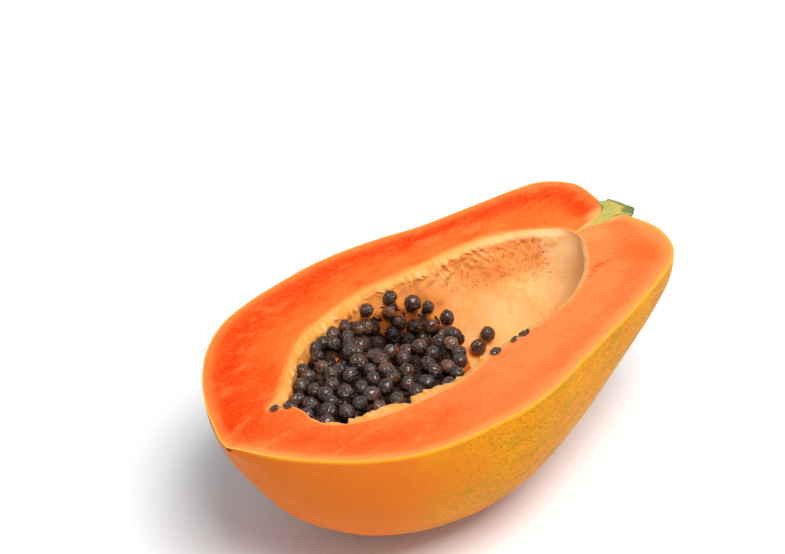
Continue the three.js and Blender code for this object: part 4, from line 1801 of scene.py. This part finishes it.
@dataclass
class Seeds:
    """The heap of seeds, the pulp under it, the loose seeds and the scraps of seed coat.

    Attributes:
        fruit: The fruit whose cavity they lie in.
        candidates: Random places tried for each layer.
        under_spacing: Least distance of the seeds in the layer below.
        under_drop: How far the layer below lies under the top one.
        least_off_wall: Least distance of a seed's centre from the cavity's wall.
        furthest_behind: How far behind the wall a seed's centre is given up.
        jitter: How far a seed lies under and over the heap's surface.
        clearance: Least height over the cavity's floor, in the top layer and in the one below.
        shelf_gap: Least distance from the shelf's inner line.
        bays: Middle distance from the left edge, and how much it varies.
        left_gap: Least distance from the left edge.
        tight: Share of the spacing that seeds on the bare wall keep.
        tight_from: Place along the fruit past which they keep only that.
        dim_along: Stretch of the heap whose lower seeds get painted shade.
        under_dimmed: Least painted shade on the layer below.
        loose_turn: Direction in which the loose seeds are longer, in degrees.
        loose_longer: Share by which they are longer.
    """

    fruit: Fruit
    candidates: int = 16000
    under_spacing: float = 5.7
    under_drop: float = 4.2
    least_off_wall: float = 1.0
    furthest_behind: float = 2.5
    jitter: tuple[float, float] = (-0.9, 0.7)
    clearance: tuple[float, float] = (0.8, 2.6)
    shelf_gap: float = 0.6
    bays: tuple[float, float] = (2.8, 3.0)
    left_gap: float = 1.4
    tight: float = 0.86
    tight_from: float = 70.0
    dim_along: Stretch = Stretch(60, 76, 124, 136)
    under_dimmed: float = 0.5
    loose_turn: float = -42.0
    loose_longer: float = 0.06

    def surface_points(self, along: np.ndarray, share: np.ndarray) -> Points:
        """Points of the heap's surface over places of the cavity.

        Args:
            along: Places along the fruit.
            share: Places from 0 at the left edge to 1 at the right edge.

        Returns:
            The points.
        """
        points, _ = self.fruit.cavity(along, share)
        heap = self.fruit.heap
        points[..., 2] = heap.height(points[..., 0], points[..., 1], points[..., 2])
        return points

    def places(self) -> tuple[list[tuple[np.ndarray, float]], int]:
        """Centres and scales of the seeds, in two layers of random close packing.

        Returns:
            The places, and how many of them are in the top layer.
        """
        heap = self.fruit.heap
        draw = np.random.default_rng(heap.seed)
        kept = np.zeros((0, 3))
        scales = []
        top_count = 0
        for drop, spacing in ((0.0, heap.spacing), (self.under_drop, self.under_spacing)):
            along = draw.uniform(0.06, 0.75, self.candidates)
            share = draw.uniform(0.0, 1.0, self.candidates)
            points = self.surface_points(along, share)
            points[:, 2] -= drop
            points[:, 2] += draw.uniform(*self.jitter, self.candidates)
            bed = self.fruit.cavity(along, share)[0][:, 2]
            clearance = self.clearance[1 if drop else 0]
            inside = (heap.beyond(points) < 0) & (points[:, 2] > bed + clearance)
            inside &= self._edge_gap(points) > self._needed_gap(points, share) - drop * 0.3
            pitted = heap.pitted(points)
            points[:, 2] -= smoothstep(-1, 4, pitted) * 2.5
            if drop == 0:
                inside &= (heap.clear(points) < 0) & (pitted < 0)
            on_wall = points[:, 2] < bed + heap.on_wall + 0.9
            tight = np.where(on_wall & (points[:, 0] > self.tight_from), self.tight, 1.0)
            for point, share_of_spacing in zip(points[inside], tight[inside]):
                scale = 1 + heap.variation * draw.uniform(-1, 1)
                apart = spacing * scale * share_of_spacing
                if len(kept) and np.linalg.norm(kept - point, axis=1).min() < apart:
                    continue
                kept = np.vstack([kept, point])
                scales.append(scale)
            top_count = top_count or len(kept)
        off_wall, normals = self._off_wall(kept)
        kept = kept + normals * np.maximum(self.least_off_wall - off_wall, 0)[:, None]
        free = off_wall > -self.furthest_behind
        places = [(point, scale) for point, scale, clear in zip(kept, scales, free) if clear]
        return places, int(free[:top_count].sum())

    def _needed_gap(self, points: Points, share: np.ndarray) -> np.ndarray:
        """How far in plan seeds keep from the cavity's edge.

        Args:
            points: Places tried.
            share: Their places from 0 at the left edge to 1 at the right edge.

        Returns:
            Distances in millimetres.
        """
        middle, varying = self.bays
        past_tip = smoothstep(38, 48, points[:, 0])
        bays = middle + varying * Ripples(62, 13).at(points * [1, 1, 0]) * past_tip
        drawn_back = smoothstep(38, 42, points[:, 0]) * smoothstep(74, 62, points[:, 0])
        shelf = self.fruit.shelf_width(points) + self.shelf_gap + 1.8 * drawn_back
        return np.where(share > 0.5, shelf, np.maximum(bays, self.left_gap))

    def _off_wall(self, points: Points) -> tuple[np.ndarray, Points]:
        """How far points stand off the cavity's wall, negative behind it, and the wall's normals.

        Args:
            points: Centres of the seeds.

        Returns:
            The distances, and the wall's normals nearest to the points.
        """
        along = np.linspace(0.03, 0.8, 220)[:, None]
        share = np.linspace(0.0, 1.0, 160)[None, :]
        wall, _ = self.fruit.cavity(along, share)
        normals = np.cross(np.gradient(wall, axis=0), np.gradient(wall, axis=1))
        normals *= np.sign(normals[110, 80, 2])
        normals /= np.maximum(np.linalg.norm(normals, axis=-1, keepdims=True), 1e-9)
        wall = wall.reshape(-1, 3)
        normals = normals.reshape(-1, 3)
        nearest = [np.linalg.norm(wall - point, axis=1).argmin() for point in points]
        return ((points - wall[nearest]) * normals[nearest]).sum(1), normals[nearest]

    def _edge_gap(self, points: Points) -> np.ndarray:
        """Distance in plan from points to the cavity's edge.

        Args:
            points: Centres of the seeds.

        Returns:
            Distances in millimetres.
        """
        along = np.linspace(0, 1, 500)
        edges = [self.fruit.cavity(along, np.full(500, end))[0] for end in (0.0, 1.0)]
        line = np.concatenate(edges)[:, :2]
        return np.array([np.linalg.norm(line - point[:2], axis=1).min() for point in points])

    def pulp(self, places: list[tuple[np.ndarray, float]]) -> MeshData:
        """The closed body of pulp under the seeds.

        Args:
            places: Centre and scale of each seed.

        Returns:
            The surface.
        """
        heap = self.fruit.heap
        along = np.linspace(0.04, 0.76, 150)[:, None]
        share = np.linspace(0.0, 1.0, 90)[None, :]
        wall, _ = self.fruit.cavity(along, share)
        top = wall.copy()
        top[..., 2] = heap.height(wall[..., 0], wall[..., 1], wall[..., 2]) - 3.0
        top[..., 2] += Ripples(61, 6).at(top) * 0.6
        beyond = heap.beyond(wall)
        sunk = smoothstep(-1.0, 1.5, beyond) * 8
        edge_gap = np.minimum(share, 1 - share) * 120
        top[..., 2] -= sunk + smoothstep(3.0, 0.0, edge_gap) * 4
        clear = smoothstep(-2.5, 1.5, heap.clear(wall))
        axis = (wall[:, :1] + wall[:, -1:]) / 2 * [1, 1, 0]
        outward = wall - axis
        outward /= np.maximum(np.linalg.norm(outward, axis=-1, keepdims=True), 1e-6)
        floor = wall + outward * 1.5
        centres = np.array([centre for centre, _ in places])
        gaps = np.stack([np.linalg.norm(row[:, None] - centres[None], axis=-1).min(1) for row in top])
        sink = smoothstep(4.4, 6.4, gaps) * (1 - clear)
        sink = np.maximum(sink, smoothstep(2.5, -0.5, top[..., 2] - wall[..., 2]))[..., None]
        top = top * (1 - sink) + (floor - outward * 0.1) * sink
        thin = smoothstep(5.0, 1.0, top[..., 2] - wall[..., 2])
        border = smoothstep(-7, 0, beyond)
        bare = np.clip(np.maximum(np.maximum(clear * 0.8, border * 0.75), thin * 0.3), 0, 1)
        points = np.concatenate([top, floor[:, ::-1]], 1)
        points[..., 2] -= 1.5 * smoothstep(-3.0, 0.0, points[..., 2])
        values = {"bare": np.concatenate([bare, bare[:, ::-1]], 1).reshape(-1)}
        faces = grid_faces(points.shape[0], points.shape[1], True)
        caps = []
        half = top.shape[1]
        columns = points.shape[1]
        last = (points.shape[0] - 1) * columns
        for k in range(half - 1):
            a, b = k, k + 1
            c, d = columns - 2 - k, columns - 1 - k
            caps += [(a, b, c), (a, c, d), (last + b, last + a, last + d), (last + b, last + d, last + c)]
        faces = np.concatenate([faces, np.array(caps)])
        return MeshData(points.reshape(-1, 3), faces, np.zeros(len(faces), int), values)

    def loose_seed(self, node: str, shift: Points, maker: SeedMaker) -> MeshData:
        """A seed in the place of a loose CAD seed.

        Args:
            node: Name of the CAD seed.
            shift: The shapes' own origin in the frame, in millimetres.
            maker: Maker of the seed.

        Returns:
            The seed's surface.
        """
        low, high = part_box(node)
        centre = np.array((low + high) / 2) / METRES - shift
        seed = len(node) + int(node[-1])
        data = maker.heap([(np.zeros(3), 1.0)], seed)
        longest = np.linalg.norm(data.points, axis=1).max()
        turn = math.radians(self.loose_turn)
        direction = [math.cos(turn), math.sin(turn), 0]
        points = data.points + np.outer(data.points @ direction * self.loose_longer, direction)
        size = np.array(high - low).min() / METRES / 2 * 1.1
        return replace(data, points=points * size / longest + centre)

    def scrap(self, node: str, shift: Points) -> MeshData:
        """A crumpled scrap of seed coat in the place of a CAD scrap.

        Args:
            node: Name of the CAD scrap.
            shift: The shapes' own origin in the frame, in millimetres.

        Returns:
            The scrap's surface.
        """
        low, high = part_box(node)
        centre = np.array((low + high) / 2) / METRES - shift
        seed = 80 + int(node[-1])
        size = np.array(high - low) / METRES / 2
        ball, faces = cube_ball(9)
        crumple = 1 + 0.22 * Ripples(seed, 1.2).at(ball) + 0.10 * Ripples(seed + 1, 0.5).at(ball)
        crumple = np.clip(crumple, 0.55, 1.0)
        points = ball * crumple[:, None] * size
        points[:, 2] += 0.35 * size[2] * Ripples(seed + 2, size[0]).at(points * [1, 1, 0])
        points[:, 2] = np.clip(points[:, 2], -size[2], size[2])
        values = {"tone": np.full(len(points), 0.3), "crest": np.clip(crumple, 0, 1) * 0.3}
        return MeshData(points + centre, faces, np.zeros(len(faces), int), values)

    def build(self, workshop: Workshop) -> None:
        """Makes the pieces.

        Args:
            workshop: Maker of the objects.
        """
        finish = SeedFinish().material()
        heap = self.fruit.heap
        places, top_count = self.places()
        fine = SeedMaker(heap.length, heap.width, 14)
        top = SeedMaker(heap.length, heap.width, 10).heap(places[:top_count], heap.seed)
        under = SeedMaker(heap.length, heap.width, 6).heap(places[top_count:], heap.seed)
        # The layer below takes the second slot, the low-gloss shaded copy of the seed finish.
        under.slots[:] = 1
        data = joined(top, under)
        # Painted shade: seeds far under the heap's high ground in the dimmed stretch, seeds by the top
        # layer's gaps, and every seed of the layer below.
        lower = heap.high_ground(data.points[:, 1]) - data.points[:, 2]
        painted_pit_shade = smoothstep(-6.5, 1.0, heap.pitted(data.points)) * smoothstep(1.0, 4.0, lower)
        sunk = np.maximum(smoothstep(4, 15, lower) * self.dim_along.over(data.points[:, 0]), painted_pit_shade)
        sunk[len(top.points):] = np.maximum(sunk[len(top.points):], self.under_dimmed)
        data.values["sunk"] = sunk
        deep = SeedFinish(gloss=0.35).material()
        piece = workshop.make("seed_heap", data, [finish, deep], sharp_degrees=70)
        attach(piece, "root")
        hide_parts("seeds")
        LOG.info("seed_heap: %d seeds, %d triangles", len(places), len(piece.data.polygons))
        pulp = workshop.make("seed_pulp", self.pulp(places), [PulpFinish().material()], sharp_degrees=70)
        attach(pulp, "root")
        LOG.info("seed_pulp: %d triangles", len(pulp.data.polygons))
        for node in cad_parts:
            if node.startswith("loose_seed"):
                self._stand_in(node, self.loose_seed(node, workshop.shift, fine), finish, workshop)
            if node.startswith("coat_scrap"):
                self._stand_in(node, self.scrap(node, workshop.shift), finish, workshop)

    @staticmethod
    def _stand_in(
        node: str, data: MeshData, finish: bpy.types.Material, workshop: Workshop
    ) -> None:
        """Makes a piece that stands for one CAD node.

        Args:
            node: Name of the CAD node.
            data: Surface of the piece.
            finish: Its material.
            workshop: Maker of the object.
        """
        piece = workshop.make(f"{node}_wrinkled", data, [finish], sharp_degrees=70)
        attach(piece, "root")
        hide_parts(node)
        LOG.info("%s: %d triangles", piece.name, len(piece.data.polygons))


# ---------------------------------------------------------------- the studio


class Lamp(Enum):
    """Soft lamps: place in millimetres, side of the square in metres, power in watts and colour."""

    KEY = ((-350.0, -2800.0, 5000.0), 2.7, 330.0, (1.0, 0.965, 0.945))
    FRONT = ((1100.0, -1300.0, 500.0), 1.2, 4.0, (1.0, 1.0, 1.0))


@dataclass
class Studio:
    """Pale floor, soft light and the camera.

    Attributes:
        floor_size: Side of the floor in metres.
        world_strength: Strength of the even light from all round.
        world_colour: Colour of that light.
        camera_at: Place of the camera in millimetres.
        target: Middle of its view in millimetres.
        azimuth: Turn of the camera round the fruit, in degrees.
        roll: Tilt of the camera, in degrees.
        lens: Focal length on a 36 mm wide sensor.
    """

    floor_size: float = 8.0
    world_strength: float = 0.42
    world_colour: Colour = (0.88, 0.98, 1.08)
    camera_at: Place = (-407.44, -551.64, 493.08)
    target: Place = (126.8, 37.3, 0.0)
    azimuth: float = -42.21
    roll: float = 5.0
    lens: float = 100.89

    def build(self, workshop: Workshop) -> None:
        """Makes the floor, the lamps and the camera.

        Args:
            workshop: Holder of the shapes' own origin.
        """
        scene = bpy.context.scene
        scene.view_settings.view_transform = "Standard"
        self._floor()
        self._lights(workshop)
        scene.camera = self._camera(workshop)
        LOG.info("camera at %s", tuple(round(part, 4) for part in scene.camera.location))

    def _floor(self) -> None:
        """Makes the floor."""
        half = self.floor_size / 2
        mesh = bpy.data.meshes.new("floor")
        corners = [(-half, -half, 0), (half, -half, 0), (half, half, 0), (-half, half, 0)]
        mesh.from_pydata(corners, [], [(0, 1, 2, 3)])
        shader = Shader("pale_floor")
        tint = shader.noise(shader.place(), 300, 2)
        colour = shader.mix(tint, (0.91, 0.94, 0.95), (0.92, 0.95, 0.96))
        mesh.materials.append(shader.finish(Base_Color=colour, Roughness=0.85, Specular_IOR_Level=0.2))
        floor = bpy.data.objects.new("floor", mesh)
        bpy.context.scene.collection.objects.link(floor)

    def _lights(self, workshop: Workshop) -> None:
        """Makes the even light and the lamps.

        Args:
            workshop: Holder of the shapes' own origin.
        """
        world = bpy.data.worlds.new("studio")
        world.use_nodes = True
        background = world.node_tree.nodes["Background"]
        background.inputs["Color"].default_value = (*self.world_colour, 1.0)
        background.inputs["Strength"].default_value = self.world_strength
        bpy.context.scene.world = world
        for lamp in Lamp:
            place, side, power, colour = lamp.value
            light = bpy.data.lights.new(lamp.name.lower(), "AREA")
            light.shape = "SQUARE"
            light.size = side
            light.energy = power
            light.color = colour
            holder = bpy.data.objects.new(lamp.name.lower(), light)
            holder.location = workshop.in_frame(place)
            aim = workshop.in_frame((117.0, 0.0, -20.0)) - holder.location
            holder.rotation_euler = aim.to_track_quat("-Z", "Y").to_euler()
            bpy.context.scene.collection.objects.link(holder)

    def _camera(self, workshop: Workshop) -> bpy.types.Object:
        """Makes the camera.

        Args:
            workshop: Holder of the shapes' own origin.

        Returns:
            The camera.
        """
        data = bpy.data.cameras.new("camera")
        data.lens = self.lens
        data.sensor_width = 36.0
        data.clip_start = 0.01
        camera = bpy.data.objects.new("camera", data)
        back = (Vector(self.camera_at) - Vector(self.target)).normalized()
        turn = math.radians(self.azimuth)
        level_right = Vector((math.cos(turn), math.sin(turn), 0))
        level_up = back.cross(level_right)
        roll = math.radians(self.roll)
        right = level_right * math.cos(roll) - level_up * math.sin(roll)
        up = level_right * math.sin(roll) + level_up * math.cos(roll)
        turned = Matrix((right, up, back)).transposed().to_4x4()
        camera.matrix_world = Matrix.Translation(workshop.in_frame(self.camera_at)) @ turned
        bpy.context.scene.collection.objects.link(camera)
        return camera


def main() -> None:
    """Builds the fruit, its stem and its seeds, and the studio round them."""
    logging.basicConfig(level=logging.INFO, format="%(name)s: %(message)s")
    workshop = Workshop()
    Studio().build(workshop)
    fruit = Fruit(SeedHeap())
    fruit.build(workshop)
    Stem().build(workshop)
    Seeds(fruit).build(workshop)


if __name__ == "__main__":
    main()
